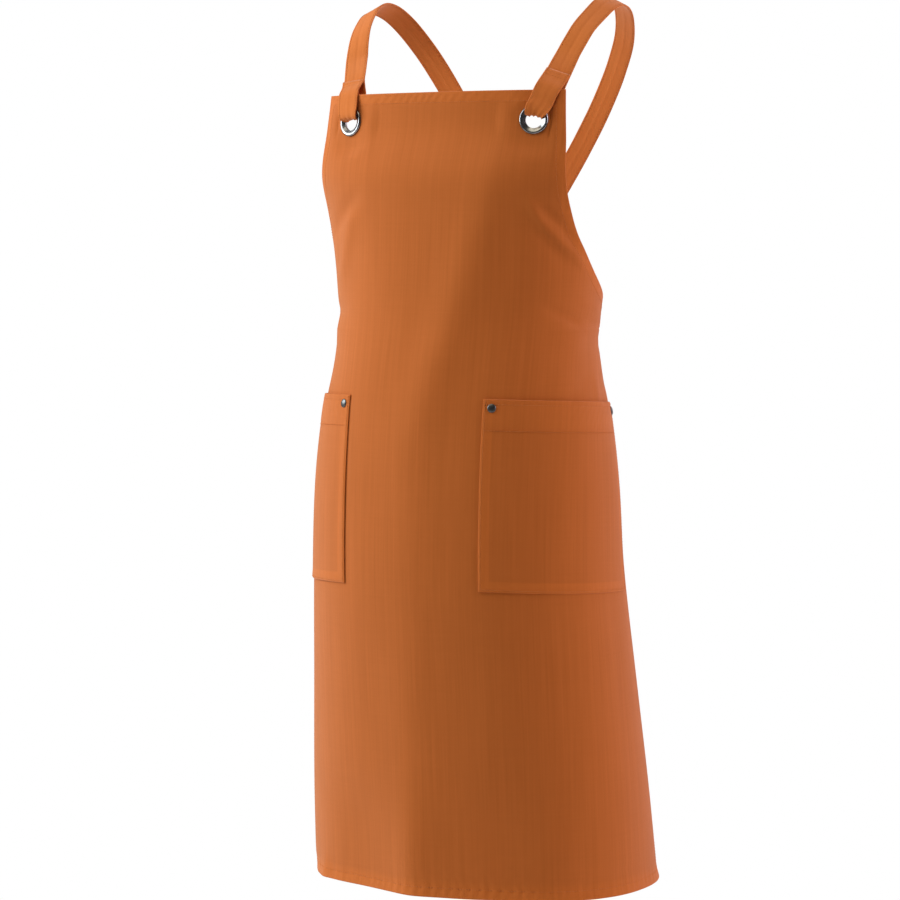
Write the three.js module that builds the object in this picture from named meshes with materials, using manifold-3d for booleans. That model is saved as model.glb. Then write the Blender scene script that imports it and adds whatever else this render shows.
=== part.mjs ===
// A cross-back work apron, as it hangs when worn: a cloth panel with a bib and a skirt, two patch
// pockets, two straps that cross behind, two large metal eyelets and four pocket rivets.
// Millimetres, +Z up. The front faces -Y and the wearer's left is +X. The origin lies midway
// between the places where the two straps rest on the shoulders.
import * as THREE from "three";
import { mergeVertices } from "three/addons/utils/BufferGeometryUtils.js";
import Module from "manifold-3d";

const wasm = await Module();
wasm.setup();

// Driving dimensions of the cloth panel
const BIB_BELOW_SHOULDER = 100;
const BIB_CENTRE_BEFORE_SHOULDER = 33;
const PANEL_LENGTH = 860;
const PANEL_HALF_WIDTH = 360;
const CLOTH = 1.2;
const HEM_WIDTH = 12;
const HEM_THICK = 2.2;
const HEM_STEP = 1.2;
const HEM_SLANT_LIMIT = 3;
const GAP = 0.3;

// Driving dimensions of the pockets
const POCKET_INNER = 84;
const POCKET_OUTER = 288;
const POCKET_TOP = 323;
const POCKET_BOTTOM = 526;
const POCKET_DROOP = 9.5;
const POCKET_DROOP_POWER = 1.35;
const POCKET_CLOTH = 1;
const POCKET_EDGE_THICK = 1.7;
const POCKET_BAND = 34;
const POCKET_EDGE = 11;
const POCKET_GAP = 0.5;
const POCKET_GAPE = 1.3;
const POCKET_GAPE_DEPTH = 70;

// Driving dimensions of the straps
const STRAP_WIDTH = 27;
const STRAP_THICK = 1.9;
const STRAP_SEAT = 5.4;
const STRAP_STEP = 20;
const CROSSING_LIFT = 1.8;
const CROSSING_REACH = 34;
const SEAM_BLOCK = { across: 20, along: 9, thick: 1.8 };

// Driving dimensions of the metal
const EYELET_S = { left: 118.5, right: 109.5 };
const EYELET_DROP = 29;
const EYELET_BORE = 10;
const EYELET_WALL = 0.9;
const EYELET_FLANGE = 16.5;
const EYELET_RISE = 2.5;
const EYELET_RIM = 0.4;
const EYELET_BACK = 15;
const EYELET_BACK_THICK = 1.2;
const EYELET_FLAT_RADIUS = 24;
const EYELET_FLAT_FADE = 44;
const RIVET_INSET = 9.5;
const RIVET_RADIUS = 5;
const RIVET_RISE = 2.1;
const RIVET_RIM = 0.4;
const RIVET_SHANK = 1.6;
const RIVET_BACK = 4.5;
const RIVET_BACK_THICK = 0.8;
const RIVET_SINK = 1;

// Horizontal sections of the worn panel's outer face: the drop below the bib's top edge, the
// half width, the half depth and where the middle lies in Y. Each is a rounded oval.
const SECTION_POWER = 2.25;
const SECTIONS = [
  { drop: 0, halfWidth: 188, halfDepth: 92.5, centreY: -8.5 },
  { drop: 40, halfWidth: 194, halfDepth: 94.5, centreY: -11 },
  { drop: 85, halfWidth: 184, halfDepth: 102, centreY: -19 },
  { drop: 125, halfWidth: 168, halfDepth: 104.5, centreY: -19.5 },
  { drop: 165, halfWidth: 158.5, halfDepth: 106.5, centreY: -20 },
  { drop: 205, halfWidth: 152.5, halfDepth: 108.5, centreY: -21 },
  { drop: 245, halfWidth: 148, halfDepth: 110.5, centreY: -23.5 },
  { drop: 290, halfWidth: 150, halfDepth: 115, centreY: -27.5 },
  { drop: 340, halfWidth: 160, halfDepth: 121.5, centreY: -28.5 },
  { drop: 420, halfWidth: 170.5, halfDepth: 127.5, centreY: -28.5 },
  { drop: 520, halfWidth: 176, halfDepth: 133, centreY: -24.5 },
  { drop: 640, halfWidth: 184.5, halfDepth: 137, centreY: -11.5 },
  { drop: 760, halfWidth: 192, halfDepth: 143.5, centreY: 2.5 },
  { drop: 860, halfWidth: 195.5, halfDepth: 150.5, centreY: 14.5 },
];

// The cut edge from the bib's top corner down the armhole to the waist corner: half the flat
// width of the cloth at each drop. Below the last row the side edge is straight.
const ARMHOLE = [
  { drop: 0, half: 151 },
  { drop: 40, half: 154 },
  { drop: 80, half: 159.5 },
  { drop: 110, half: 163.5 },
  { drop: 135, half: 171 },
  { drop: 151, half: 178.5 },
  { drop: 167, half: 190 },
  { drop: 183, half: 204 },
  { drop: 199, half: 223 },
  { drop: 213, half: 247 },
  { drop: 227, half: 280 },
  { drop: 241, half: 319 },
  { drop: 254, half: PANEL_HALF_WIDTH },
];
const WAIST_DROP = ARMHOLE[ARMHOLE.length - 1].drop;

// Soft folds: ridges, or valleys where the height is negative, along a line on the flat cloth.
// s runs along the cloth from the centre front, to the wearer's left.
const FOLDS = [
  { fromS: 120, fromDrop: 114, toS: 166, toDrop: 160, width: 11, height: 1.3 },
  { fromS: 138, fromDrop: 226, toS: 190, toDrop: 244, width: 8, height: -1.1 },
  { fromS: 140, fromDrop: 250, toS: 196, toDrop: 266, width: 11, height: 0.9 },
  { fromS: 142, fromDrop: 292, toS: 190, toDrop: 304, width: 9, height: 0.9 },
  { fromS: -205, fromDrop: 236, toS: -110, toDrop: 233, width: 8, height: -1.6 },
  { fromS: -205, fromDrop: 254, toS: -112, toDrop: 258, width: 9, height: 1.4 },
];

// The strap where it doubles through the eyelet, from the sewn free end in front of the bib to
// the main run behind it. along runs up the strap from the eyelet's middle, out is the distance
// in front of the cloth, bend is how far the strap is cupped across (1 / radius), and the last two
// are how far each strap leans outwards there, in degrees.
const LOOP = [
  { along: 58, out: -14.4, width: STRAP_WIDTH, bend: 0, left: 22.5, right: 21 },
  { along: 49, out: -7.8, width: STRAP_WIDTH, bend: 0, left: 23.5, right: 20 },
  { along: 40, out: -0.2, width: STRAP_WIDTH, bend: 0, left: 25, right: 19 },
  { along: 31, out: 2.4, width: STRAP_WIDTH, bend: 0, left: 26.5, right: 17.5 },
  { along: 22, out: 3.5, width: 25.5, bend: 0.015, left: 28.5, right: 16.5 },
  { along: 15.5, out: 4.1, width: 23.5, bend: 0.035, left: 32, right: 17 },
  { along: 11, out: 4.1, width: 21, bend: 0.07, left: 36, right: 18.5 },
  { along: 8.6, out: 2.7, width: 19.5, bend: 0.11, left: 38, right: 20 },
  { along: 8.3, out: 0.2, width: 19, bend: 0.12, left: 38, right: 20 },
  { along: 8.5, out: -2.5, width: 19.5, bend: 0.11, left: 38, right: 20 },
  { along: 10.6, out: -4.8, width: 21, bend: 0.07, left: 36, right: 18.5 },
  { along: 15.5, out: -5.4, width: 23.5, bend: 0.035, left: 32, right: 17 },
  { along: 22, out: -5.8, width: 25.5, bend: 0.015, left: 28.5, right: 16.5 },
  { along: 31, out: -7, width: STRAP_WIDTH, bend: 0, left: 26.5, right: 17.5 },
  { along: 40, out: -9.8, width: STRAP_WIDTH, bend: 0, left: 25, right: 19 },
  { along: 49, out: -13.2, width: STRAP_WIDTH, bend: 0, left: 23.5, right: 20 },
  { along: 58, out: -17.6, width: STRAP_WIDTH, bend: 0, left: 22.5, right: 21 },
];
const SEAM_ROW = 0.5;

// The strap's free run from the front of the shoulder, over it and down the back to beyond the
// crossing: the middle of the strap and the way that its outer face looks. z is above the bib.
const SHOULDER_RUN = [
  { x: 132.5, y: -41, z: 42, faceX: 0.2, faceY: -0.82, faceZ: 0.54 },
  { x: 136.5, y: -32, z: 56, faceX: 0.21, faceY: -0.79, faceZ: 0.58 },
  { x: 140.5, y: -20.5, z: 71, faceX: 0.24, faceY: -0.68, faceZ: 0.69 },
  { x: 145, y: -4, z: 85, faceX: 0.31, faceY: -0.52, faceZ: 0.8 },
  { x: 148, y: 14, z: 96.5, faceX: 0.38, faceY: -0.25, faceZ: 0.89 },
  { x: 148.5, y: 33, z: 101, faceX: 0.42, faceY: 0.08, faceZ: 0.9 },
  { x: 146, y: 54, z: 97, faceX: 0.42, faceY: 0.38, faceZ: 0.82 },
  { x: 139.5, y: 75, z: 83, faceX: 0.37, faceY: 0.66, faceZ: 0.65 },
  { x: 129, y: 93, z: 61, faceX: 0.28, faceY: 0.86, faceZ: 0.43 },
  { x: 114, y: 105, z: 33, faceX: 0.2, faceY: 0.95, faceZ: 0.25 },
  { x: 96, y: 112, z: 0, faceX: 0.12, faceY: 0.98, faceZ: 0.13 },
  { x: 75, y: 114.5, z: -37, faceX: 0.06, faceY: 1, faceZ: 0.03 },
  { x: 53, y: 112.5, z: -75, faceX: 0.02, faceY: 1, faceZ: -0.07 },
  { x: 30, y: 107.5, z: -114, faceX: 0, faceY: 0.99, faceZ: -0.14 },
  { x: 6, y: 100.5, z: -154, faceX: -0.03, faceY: 0.98, faceZ: -0.18 },
  { x: -15, y: 93.5, z: -190, faceX: -0.08, faceY: 0.98, faceZ: -0.17 },
];

// The strap's end, sewn to the inside of the opposite waist corner, in the cloth's coordinates.
const WAIST_RUN = [
  { s: 384, drop: 224 },
  { s: 360, drop: 256 },
  { s: 348, drop: 276 },
  { s: 336, drop: 297 },
];
const WAIST_BEND = 1 / 130;

const SIDES = { left: 1, right: -1 };

// Facets: the panel's rows lie close together where its edge curves most
const PANEL_ROWS = [
  { from: 28, to: 196, steps: 9 },
  { from: 206, to: WAIST_DROP, steps: 6 },
  { from: 268, to: POCKET_TOP, steps: 2 },
  { from: POCKET_TOP + 16, to: PANEL_LENGTH - HEM_WIDTH - HEM_STEP, steps: 9 },
];
const PANEL_COLUMNS = 30;
const POCKET_ROWS = 4;
const POCKET_BAND_ROWS = 2;
const POCKET_COLUMNS = 14;
const STRAP_COLUMNS = 4;
const EYELET_SIDES = 24;
const RIVET_SIDES = 12;
const RIVET_HOLE_SIDES = 10;
const DOME_STEPS = 4;
const ROLL_STEPS = 6;
const CUTTER_LENGTH = 18;

// The value of one column of a table at a given drop, on a smooth cubic through the rows
function columnAt(rows, column, drop) {
  const last = rows.length - 1;
  let i = 0;
  while (i < last - 1 && drop > rows[i + 1].drop) {
    i += 1;
  }
  const slopeAt = (k) => {
    const low = rows[Math.max(k - 1, 0)];
    const high = rows[Math.min(k + 1, last)];
    return (high[column] - low[column]) / (high.drop - low.drop);
  };
  const span = rows[i + 1].drop - rows[i].drop;
  const u = (drop - rows[i].drop) / span;
  const rise = u * u * (3 - 2 * u);
  const start = u * (1 - u) * (1 - u) * span * slopeAt(i);
  const end = u * u * (u - 1) * span * slopeAt(i + 1);
  return rows[i][column] * (1 - rise) + rows[i + 1][column] * rise + start + end;
}

// One half of a section, from the centre front to the centre back, with the length so far
const RING_STEPS = 240;
const rings = new Map();
function ringAt(drop) {
  if (rings.has(drop)) {
    return rings.get(drop);
  }
  const halfWidth = columnAt(SECTIONS, "halfWidth", drop);
  const halfDepth = columnAt(SECTIONS, "halfDepth", drop);
  const centreY = columnAt(SECTIONS, "centreY", drop);
  const roundness = 2 / SECTION_POWER;
  const ring = [];
  for (let i = 0; i <= RING_STEPS; i += 1) {
    const turn = (Math.PI * i) / RING_STEPS;
    const cosine = Math.cos(turn);
    const x = halfWidth * Math.abs(Math.sin(turn)) ** roundness;
    const y = centreY - halfDepth * Math.sign(cosine) * Math.abs(cosine) ** roundness;
    const before = ring[i - 1];
    const length = before ? before.length + Math.hypot(x - before.x, y - before.y) : 0;
    ring.push({ x, y, length });
  }
  rings.set(drop, ring);
  return ring;
}

// The smooth worn form: s is the length along the cloth from the centre front
function formPoint(s, drop) {
  const ring = ringAt(drop);
  const reach = Math.abs(s);
  let low = 0;
  let high = RING_STEPS;
  while (high - low > 1) {
    const middle = (low + high) >> 1;
    if (ring[middle].length > reach) {
      high = middle;
    } else {
      low = middle;
    }
  }
  const u = (reach - ring[low].length) / (ring[high].length - ring[low].length);
  const x = THREE.MathUtils.lerp(ring[low].x, ring[high].x, u);
  const y = THREE.MathUtils.lerp(ring[low].y, ring[high].y, u);
  return new THREE.Vector3(Math.sign(s) * x, y, -drop);
}

// The outward direction of a surface that is given as a function of s and drop
const NORMAL_STEP = 2;
function outward(surface, s, drop) {
  const sideways = surface(s + NORMAL_STEP, drop).sub(surface(s - NORMAL_STEP, drop));
  const down = surface(s, drop + NORMAL_STEP).sub(surface(s, drop - NORMAL_STEP));
  return down.cross(sideways).normalize();
}

function foldHeight(s, drop) {
  let height = 0;
  for (const fold of FOLDS) {
    const runS = fold.toS - fold.fromS;
    const runDrop = fold.toDrop - fold.fromDrop;
    const length = Math.hypot(runS, runDrop);
    const along = ((s - fold.fromS) * runS + (drop - fold.fromDrop) * runDrop) / length;
    const aside = ((s - fold.fromS) * runDrop - (drop - fold.fromDrop) * runS) / length;
    const middle = (2 * along) / length - 1;
    height += fold.height * Math.exp(-((aside / fold.width) ** 2) - middle ** 4);
  }
  return height;
}

const eyeletSeats = Object.entries(SIDES).map(([sideName, side]) => ({
  centre: formPoint(side * EYELET_S[sideName], EYELET_DROP),
  axis: outward(formPoint, side * EYELET_S[sideName], EYELET_DROP),
}));

// The panel's outer face: the worn form with its folds, pressed flat round each eyelet
function wornPoint(s, drop) {
  const point = formPoint(s, drop);
  point.addScaledVector(outward(formPoint, s, drop), foldHeight(s, drop));
  for (const { centre, axis } of eyeletSeats) {
    const arm = point.clone().sub(centre);
    const fade = THREE.MathUtils.smoothstep(arm.length(), EYELET_FLAT_RADIUS, EYELET_FLAT_FADE);
    point.addScaledVector(axis, -arm.dot(axis) * (1 - fade));
  }
  return point;
}

function raisedPoint(s, drop, rise) {
  return wornPoint(s, drop).addScaledVector(outward(wornPoint, s, drop), rise);
}

// Evenly spaced values from the first to the last, both included
function evenly(from, to, steps) {
  return Array.from({ length: steps + 1 }, (_, i) => from + ((to - from) * i) / steps);
}

// Turns a geometry into a solid whose faces look outwards
function solidOf(geometry) {
  geometry.deleteAttribute("normal");
  geometry.deleteAttribute("uv");
  const merged = mergeVertices(geometry, 1e-4);
  const vertProperties = new Float32Array(merged.attributes.position.array);
  const triVerts = new Uint32Array(merged.index.array);
  const solid = new wasm.Manifold(new wasm.Mesh({ numProp: 3, vertProperties, triVerts }));
  if (solid.volume() > 0) {
    return solid;
  }
  const turned = triVerts.reverse();
  return new wasm.Manifold(new wasm.Mesh({ numProp: 3, vertProperties, triVerts: turned }));
}

function geometryOf(solid) {
  const { vertProperties, triVerts } = solid.getMesh();
  const geometry = new THREE.BufferGeometry();
  geometry.setAttribute("position", new THREE.BufferAttribute(vertProperties, 3));
  geometry.setIndex(new THREE.BufferAttribute(triVerts, 1));
  geometry.computeVertexNormals();
  return geometry;
}

// A closed wall between two like grids of points, the outer face and the inner one
function wallBetween(outer, inner) {
  const rows = outer.length;
  const columns = outer[0].length;
  const points = [...outer.flat(), ...inner.flat()];
  const index = [];
  const quad = (a, b, c, d) => {
    if (points[a].distanceTo(points[c]) < points[b].distanceTo(points[d])) {
      index.push(a, b, c, a, c, d);
    } else {
      index.push(a, b, d, b, c, d);
    }
  };
  const front = (i, j) => i * columns + j;
  const back = (i, j) => rows * columns + i * columns + j;
  for (let i = 0; i + 1 < rows; i += 1) {
    for (let j = 0; j + 1 < columns; j += 1) {
      quad(front(i, j), front(i + 1, j), front(i + 1, j + 1), front(i, j + 1));
      quad(back(i, j), back(i, j + 1), back(i + 1, j + 1), back(i + 1, j));
    }
    quad(front(i + 1, 0), front(i, 0), back(i, 0), back(i + 1, 0));
    const end = columns - 1;
    quad(front(i, end), front(i + 1, end), back(i + 1, end), back(i, end));
  }
  for (let j = 0; j + 1 < columns; j += 1) {
    quad(front(0, j), front(0, j + 1), back(0, j + 1), back(0, j));
    const end = rows - 1;
    quad(front(end, j + 1), front(end, j), back(end, j), back(end, j + 1));
  }
  const geometry = new THREE.BufferGeometry().setFromPoints(points);
  geometry.setIndex(index);
  return geometry;
}

// Half the cloth's flat width at a drop, and how far the side hem reaches in along s there
function halfWidthAt(drop) {
  return drop < WAIST_DROP ? columnAt(ARMHOLE, "half", drop) : PANEL_HALF_WIDTH;
}
function hemReachAt(drop) {
  const slope = halfWidthAt(drop + 1) - halfWidthAt(drop - 1);
  return HEM_WIDTH * Math.min(Math.hypot(1, slope / 2), HEM_SLANT_LIMIT);
}

// A cylinder along an eyelet's or rivet's axis, to cut its hole
function holeCutter(seat, radius, sides) {
  const cutter = new THREE.CylinderGeometry(radius, radius, CUTTER_LENGTH, sides);
  return solidOf(cutter.applyMatrix4(seatMatrix(seat)));
}

// Places a turned shape's axis, its Y, along the outward direction at a seat on the cloth
function seatMatrix(seat) {
  const turn = new THREE.Quaternion().setFromUnitVectors(new THREE.Vector3(0, 1, 0), seat.axis);
  return new THREE.Matrix4().compose(seat.centre, turn, new THREE.Vector3(1, 1, 1));
}

// How much lower a pocket hangs away from its inner edge
function pocketDroop(reach) {
  const across = (reach - POCKET_INNER) / (POCKET_OUTER - POCKET_INNER);
  return POCKET_DROOP * across ** POCKET_DROOP_POWER;
}

const rivetSeats = [];
for (const [sideName, side] of Object.entries(SIDES)) {
  const columns = { inner: POCKET_INNER + RIVET_INSET, outer: POCKET_OUTER - RIVET_INSET };
  for (const [placeName, column] of Object.entries(columns)) {
    const s = side * column;
    const drop = POCKET_TOP + RIVET_INSET + pocketDroop(column);
    const centre = wornPoint(s, drop);
    const axis = outward(wornPoint, s, drop);
    rivetSeats.push({ name: `rivet_${sideName}_${placeName}`, centre, axis });
  }
}

function bodyPanel() {
  const drops = [
    ...[0, HEM_WIDTH, HEM_WIDTH + HEM_STEP],
    ...PANEL_ROWS.flatMap((rows) => evenly(rows.from, rows.to, rows.steps)),
    ...[PANEL_LENGTH - HEM_WIDTH, PANEL_LENGTH],
  ];
  const outer = [];
  const inner = [];
  for (const drop of drops) {
    const half = halfWidthAt(drop);
    const hem = half - hemReachAt(drop);
    const flat = hem - HEM_STEP;
    const columns = [-half, -hem, ...evenly(-flat, flat, PANEL_COLUMNS), hem, half];
    const inEndHem = drop <= HEM_WIDTH || drop >= PANEL_LENGTH - HEM_WIDTH;
    outer.push(columns.map((s) => wornPoint(s, drop)));
    inner.push(
      columns.map((s) => {
        const inHem = inEndHem || Math.abs(s) >= hem;
        return raisedPoint(s, drop, inHem ? -HEM_THICK : -CLOTH);
      }),
    );
  }
  let panel = solidOf(wallBetween(outer, inner));
  for (const seat of eyeletSeats) {
    panel = panel.subtract(holeCutter(seat, EYELET_BORE + EYELET_WALL + GAP, EYELET_SIDES));
  }
  for (const seat of rivetSeats) {
    panel = panel.subtract(holeCutter(seat, RIVET_SHANK + GAP, RIVET_HOLE_SIDES));
  }
  return geometryOf(panel);
}

// How far a pocket's inner face stands off the panel: least at the seams, most at the mouth
function pocketStandOff(reach, drop) {
  const across = (2 * (reach - POCKET_INNER)) / (POCKET_OUTER - POCKET_INNER) - 1;
  const depth = (drop - POCKET_TOP) / POCKET_GAPE_DEPTH;
  return POCKET_GAP + POCKET_GAPE * (1 - across ** 2) ** 2 * Math.exp(-(depth ** 2));
}

function pocket(side) {
  const bandDrop = POCKET_TOP + POCKET_BAND;
  const edgeDrop = POCKET_BOTTOM - POCKET_EDGE;
  const drops = [
    ...evenly(POCKET_TOP, bandDrop, POCKET_BAND_ROWS),
    ...evenly(bandDrop + HEM_STEP, edgeDrop - HEM_STEP, POCKET_ROWS),
    ...[edgeDrop, POCKET_BOTTOM],
  ];
  const innerEdge = POCKET_INNER + POCKET_EDGE;
  const outerEdge = POCKET_OUTER - POCKET_EDGE;
  const reaches = [
    ...[POCKET_INNER, innerEdge],
    ...evenly(innerEdge + HEM_STEP, outerEdge - HEM_STEP, POCKET_COLUMNS),
    ...[outerEdge, POCKET_OUTER],
  ];
  const columns = side > 0 ? reaches : [...reaches].reverse();
  const outer = [];
  const inner = [];
  for (const drop of drops) {
    const inBand = drop <= bandDrop || drop >= edgeDrop;
    const thickAt = (reach) => {
      const folded = inBand || reach <= innerEdge || reach >= outerEdge;
      return folded ? POCKET_EDGE_THICK : POCKET_CLOTH;
    };
    const faceAt = (reach, rise) => {
      const standOff = pocketStandOff(reach, drop);
      return raisedPoint(side * reach, drop + pocketDroop(reach), standOff + rise);
    };
    outer.push(columns.map((reach) => faceAt(reach, thickAt(reach))));
    inner.push(columns.map((reach) => faceAt(reach, 0)));
  }
  let patch = solidOf(wallBetween(outer, inner));
  for (const seat of rivetSeats) {
    patch = patch.subtract(holeCutter(seat, RIVET_SHANK + GAP, RIVET_HOLE_SIDES));
  }
  return geometryOf(patch);
}

// The rows that a strap is led through: its middle, with either its width's direction or the
// direction that its outer face looks
function strapRows(sideName) {
  const side = SIDES[sideName];
  const centre = wornPoint(side * EYELET_S[sideName], EYELET_DROP);
  const axis = outward(wornPoint, side * EYELET_S[sideName], EYELET_DROP);
  const leftwards = new THREE.Vector3(0, 0, 1).cross(axis).normalize();
  const upwards = axis.clone().cross(leftwards);
  const loop = LOOP.map((row) => {
    const lean = THREE.MathUtils.degToRad(row[sideName]);
    const along = upwards.clone().multiplyScalar(Math.cos(lean));
    along.addScaledVector(leftwards, side * Math.sin(lean));
    const middle = centre.clone().addScaledVector(along, row.along);
    middle.addScaledVector(axis, row.out);
    return { middle, across: along.cross(axis), width: row.width, bend: row.bend };
  });
  const shoulder = SHOULDER_RUN.map((row) => {
    const lift = side * CROSSING_LIFT * Math.exp(-((row.x / CROSSING_REACH) ** 2));
    return {
      middle: new THREE.Vector3(side * row.x, row.y + lift, row.z),
      face: new THREE.Vector3(side * row.faceX, row.faceY, row.faceZ),
      width: STRAP_WIDTH,
      bend: 0,
    };
  });
  const waist = WAIST_RUN.map((row) => ({
    middle: raisedPoint(-side * row.s, row.drop, -STRAP_SEAT),
    face: outward(wornPoint, -side * row.s, row.drop),
    width: STRAP_WIDTH,
    bend: WAIST_BEND,
  }));
  return [...loop, ...shoulder, ...waist];
}

// Stations along a strap's smooth middle line, each with its own axes, width and cupping
function strapStations(rows) {
  const line = new THREE.CatmullRomCurve3(rows.map((row) => row.middle), false, "centripetal");
  const segments = rows.length - 1;
  const acrossAt = rows.map((row, i) => {
    return row.across ?? line.getTangent(i / segments).cross(row.face).normalize();
  });
  const stationAt = (position) => {
    const i = Math.min(Math.floor(position), segments - 1);
    const u = position - i;
    const tangent = line.getTangent(position / segments);
    const across = acrossAt[i].clone().lerp(acrossAt[i + 1], u);
    across.addScaledVector(tangent, -across.dot(tangent)).normalize();
    return {
      middle: line.getPoint(position / segments),
      tangent,
      across,
      face: across.clone().cross(tangent),
      width: THREE.MathUtils.lerp(rows[i].width, rows[i + 1].width, u),
      bend: THREE.MathUtils.lerp(rows[i].bend, rows[i + 1].bend, u),
    };
  };
  const stations = [];
  for (let i = 0; i < segments; i += 1) {
    const length = rows[i].middle.distanceTo(rows[i + 1].middle);
    const steps = Math.max(1, Math.round(length / STRAP_STEP));
    for (let k = 0; k < steps; k += 1) {
      stations.push(stationAt(i + k / steps));
    }
  }
  stations.push(stationAt(segments));
  return { stations, seam: stationAt(SEAM_ROW) };
}

// A point on a strap's face, at a place across it and a height above its middle surface
function strapPoint(station, place, height) {
  const { middle, across, face, bend } = station;
  const turn = place * bend;
  const aside = bend > 0 ? Math.sin(turn) / bend : place;
  const fall = bend > 0 ? (1 - Math.cos(turn)) / bend : 0;
  const point = middle.clone().addScaledVector(across, aside).addScaledVector(face, -fall);
  const normal = face.clone().multiplyScalar(Math.cos(turn)).addScaledVector(across, Math.sin(turn));
  return point.addScaledVector(normal, height);
}

function strap(sideName) {
  const { stations, seam } = strapStations(strapRows(sideName));
  const fractions = evenly(-0.5, 0.5, STRAP_COLUMNS);
  const gridAt = (height) =>
    stations.map((station) => fractions.map((f) => strapPoint(station, f * station.width, height)));
  const band = solidOf(wallBetween(gridAt(STRAP_THICK / 2), gridAt(-STRAP_THICK / 2)));
  const block = new THREE.BoxGeometry(SEAM_BLOCK.across, SEAM_BLOCK.along, SEAM_BLOCK.thick);
  const axes = new THREE.Matrix4().makeBasis(seam.across, seam.tangent, seam.face);
  const place = seam.middle.clone().addScaledVector(seam.face, (STRAP_THICK + GAP) / 2);
  block.applyMatrix4(axes.setPosition(place));
  return geometryOf(band.add(solidOf(block)));
}

// A rolled eyelet: a domed front flange, a short barrel through the cloth and a back washer
function eyelet() {
  const barrel = EYELET_BORE + EYELET_WALL;
  const rollHalf = (EYELET_FLANGE - EYELET_BORE) / 2;
  const rollMiddle = EYELET_BORE + rollHalf;
  const base = GAP + EYELET_RIM;
  const profile = [];
  for (const turn of evenly(Math.PI, 0, ROLL_STEPS)) {
    const rise = base + (EYELET_RISE - base) * Math.sin(turn);
    profile.push(new THREE.Vector2(rollMiddle + rollHalf * Math.cos(turn), rise));
  }
  const back = -CLOTH - GAP;
  profile.push(
    new THREE.Vector2(EYELET_FLANGE - EYELET_RIM, GAP),
    new THREE.Vector2(barrel, GAP),
    new THREE.Vector2(barrel, back),
    new THREE.Vector2(EYELET_BACK, back),
    new THREE.Vector2(EYELET_BACK - EYELET_RIM, back - EYELET_BACK_THICK + EYELET_RIM),
    new THREE.Vector2(EYELET_BORE + EYELET_RIM, back - EYELET_BACK_THICK),
    new THREE.Vector2(EYELET_BORE, back - EYELET_BACK_THICK + EYELET_RIM),
    profile[0].clone(),
  );
  return geometryOf(solidOf(new THREE.LatheGeometry(profile, EYELET_SIDES)));
}

// A rivet: a domed cap on the pocket, a shank through both cloths and a plate behind them
function rivet() {
  const capBase = POCKET_GAP + POCKET_EDGE_THICK + GAP;
  const plateTop = -CLOTH - RIVET_SINK;
  const profile = [
    new THREE.Vector2(0, plateTop - RIVET_BACK_THICK),
    new THREE.Vector2(RIVET_BACK, plateTop - RIVET_BACK_THICK),
    new THREE.Vector2(RIVET_BACK, plateTop),
    new THREE.Vector2(RIVET_SHANK, plateTop),
    new THREE.Vector2(RIVET_SHANK, capBase),
    new THREE.Vector2(RIVET_RADIUS - RIVET_RIM, capBase),
  ];
  for (const turn of evenly(0, Math.PI / 2, DOME_STEPS)) {
    const rise = capBase + RIVET_RIM + (RIVET_RISE - RIVET_RIM) * Math.sin(turn);
    profile.push(new THREE.Vector2(RIVET_RADIUS * Math.cos(turn), rise));
  }
  profile[profile.length - 1].x = 0;
  return geometryOf(solidOf(new THREE.LatheGeometry(profile, RIVET_SIDES)));
}

const clothLook = { color: 0xb5602d, roughness: 0.9, metalness: 0 };
const strapLook = { color: 0xb8632f, roughness: 0.88, metalness: 0 };
const eyeletLook = { color: 0x9b9a98, roughness: 0.32, metalness: 1 };
const rivetLook = { color: 0x55504c, roughness: 0.38, metalness: 1 };

function named(name, geometry, look) {
  const mesh = new THREE.Mesh(geometry, new THREE.MeshStandardMaterial(look));
  mesh.name = name;
  return mesh;
}

function seated(name, geometry, look, seat) {
  const mesh = named(name, geometry, look);
  mesh.applyMatrix4(seatMatrix(seat));
  return mesh;
}

const garment = new THREE.Group();
garment.add(named("body_panel", bodyPanel(), clothLook));
const hardware = new THREE.Group();
Object.entries(SIDES).forEach(([sideName, side], i) => {
  garment.add(named(`pocket_${sideName}`, pocket(side), clothLook));
  garment.add(named(`strap_${sideName}`, strap(sideName), strapLook));
  hardware.add(seated(`eyelet_${sideName}`, eyelet(), eyeletLook, eyeletSeats[i]));
});
for (const seat of rivetSeats) {
  hardware.add(seated(seat.name, rivet(), rivetLook, seat));
}

// The tables measure down from the bib's top edge, and the origin lies at the shoulders.
const worn = new THREE.Group();
worn.position.set(0, -BIB_CENTRE_BEFORE_SHOULDER, -BIB_BELOW_SHOULDER);
worn.add(garment, hardware);
const apron = new THREE.Group();
apron.add(worn);

export default apron;
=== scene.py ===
"""The finished look of a cross-back work apron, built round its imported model.

Metres, +Z up. The front faces -Y and the wearer's left is +X. Cloth is measured as it is cut: s runs
along it from the centre front to the wearer's left, and drop runs down from the bib's top edge.
"""

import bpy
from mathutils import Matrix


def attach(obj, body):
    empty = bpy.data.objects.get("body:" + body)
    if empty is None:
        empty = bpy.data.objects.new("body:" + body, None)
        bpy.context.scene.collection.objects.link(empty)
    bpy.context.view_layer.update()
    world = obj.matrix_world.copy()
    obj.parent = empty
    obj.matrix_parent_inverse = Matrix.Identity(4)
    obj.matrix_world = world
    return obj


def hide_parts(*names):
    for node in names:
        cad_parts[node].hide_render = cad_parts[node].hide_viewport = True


bl_info = {
    "name": "Cross-back work apron",
    "version": (1, 0, 0),
    "blender": (4, 5, 0),
    "location": "3D View > Sidebar > Apron",
    "description": "Builds a worn cloth apron with pockets, straps, eyelets and rivets",
    "category": "Object",
}

import math
from typing import NamedTuple

import bmesh
import bpy
import numpy as np
from bpy.props import FloatProperty, FloatVectorProperty, PointerProperty
from mathutils import Vector

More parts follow.
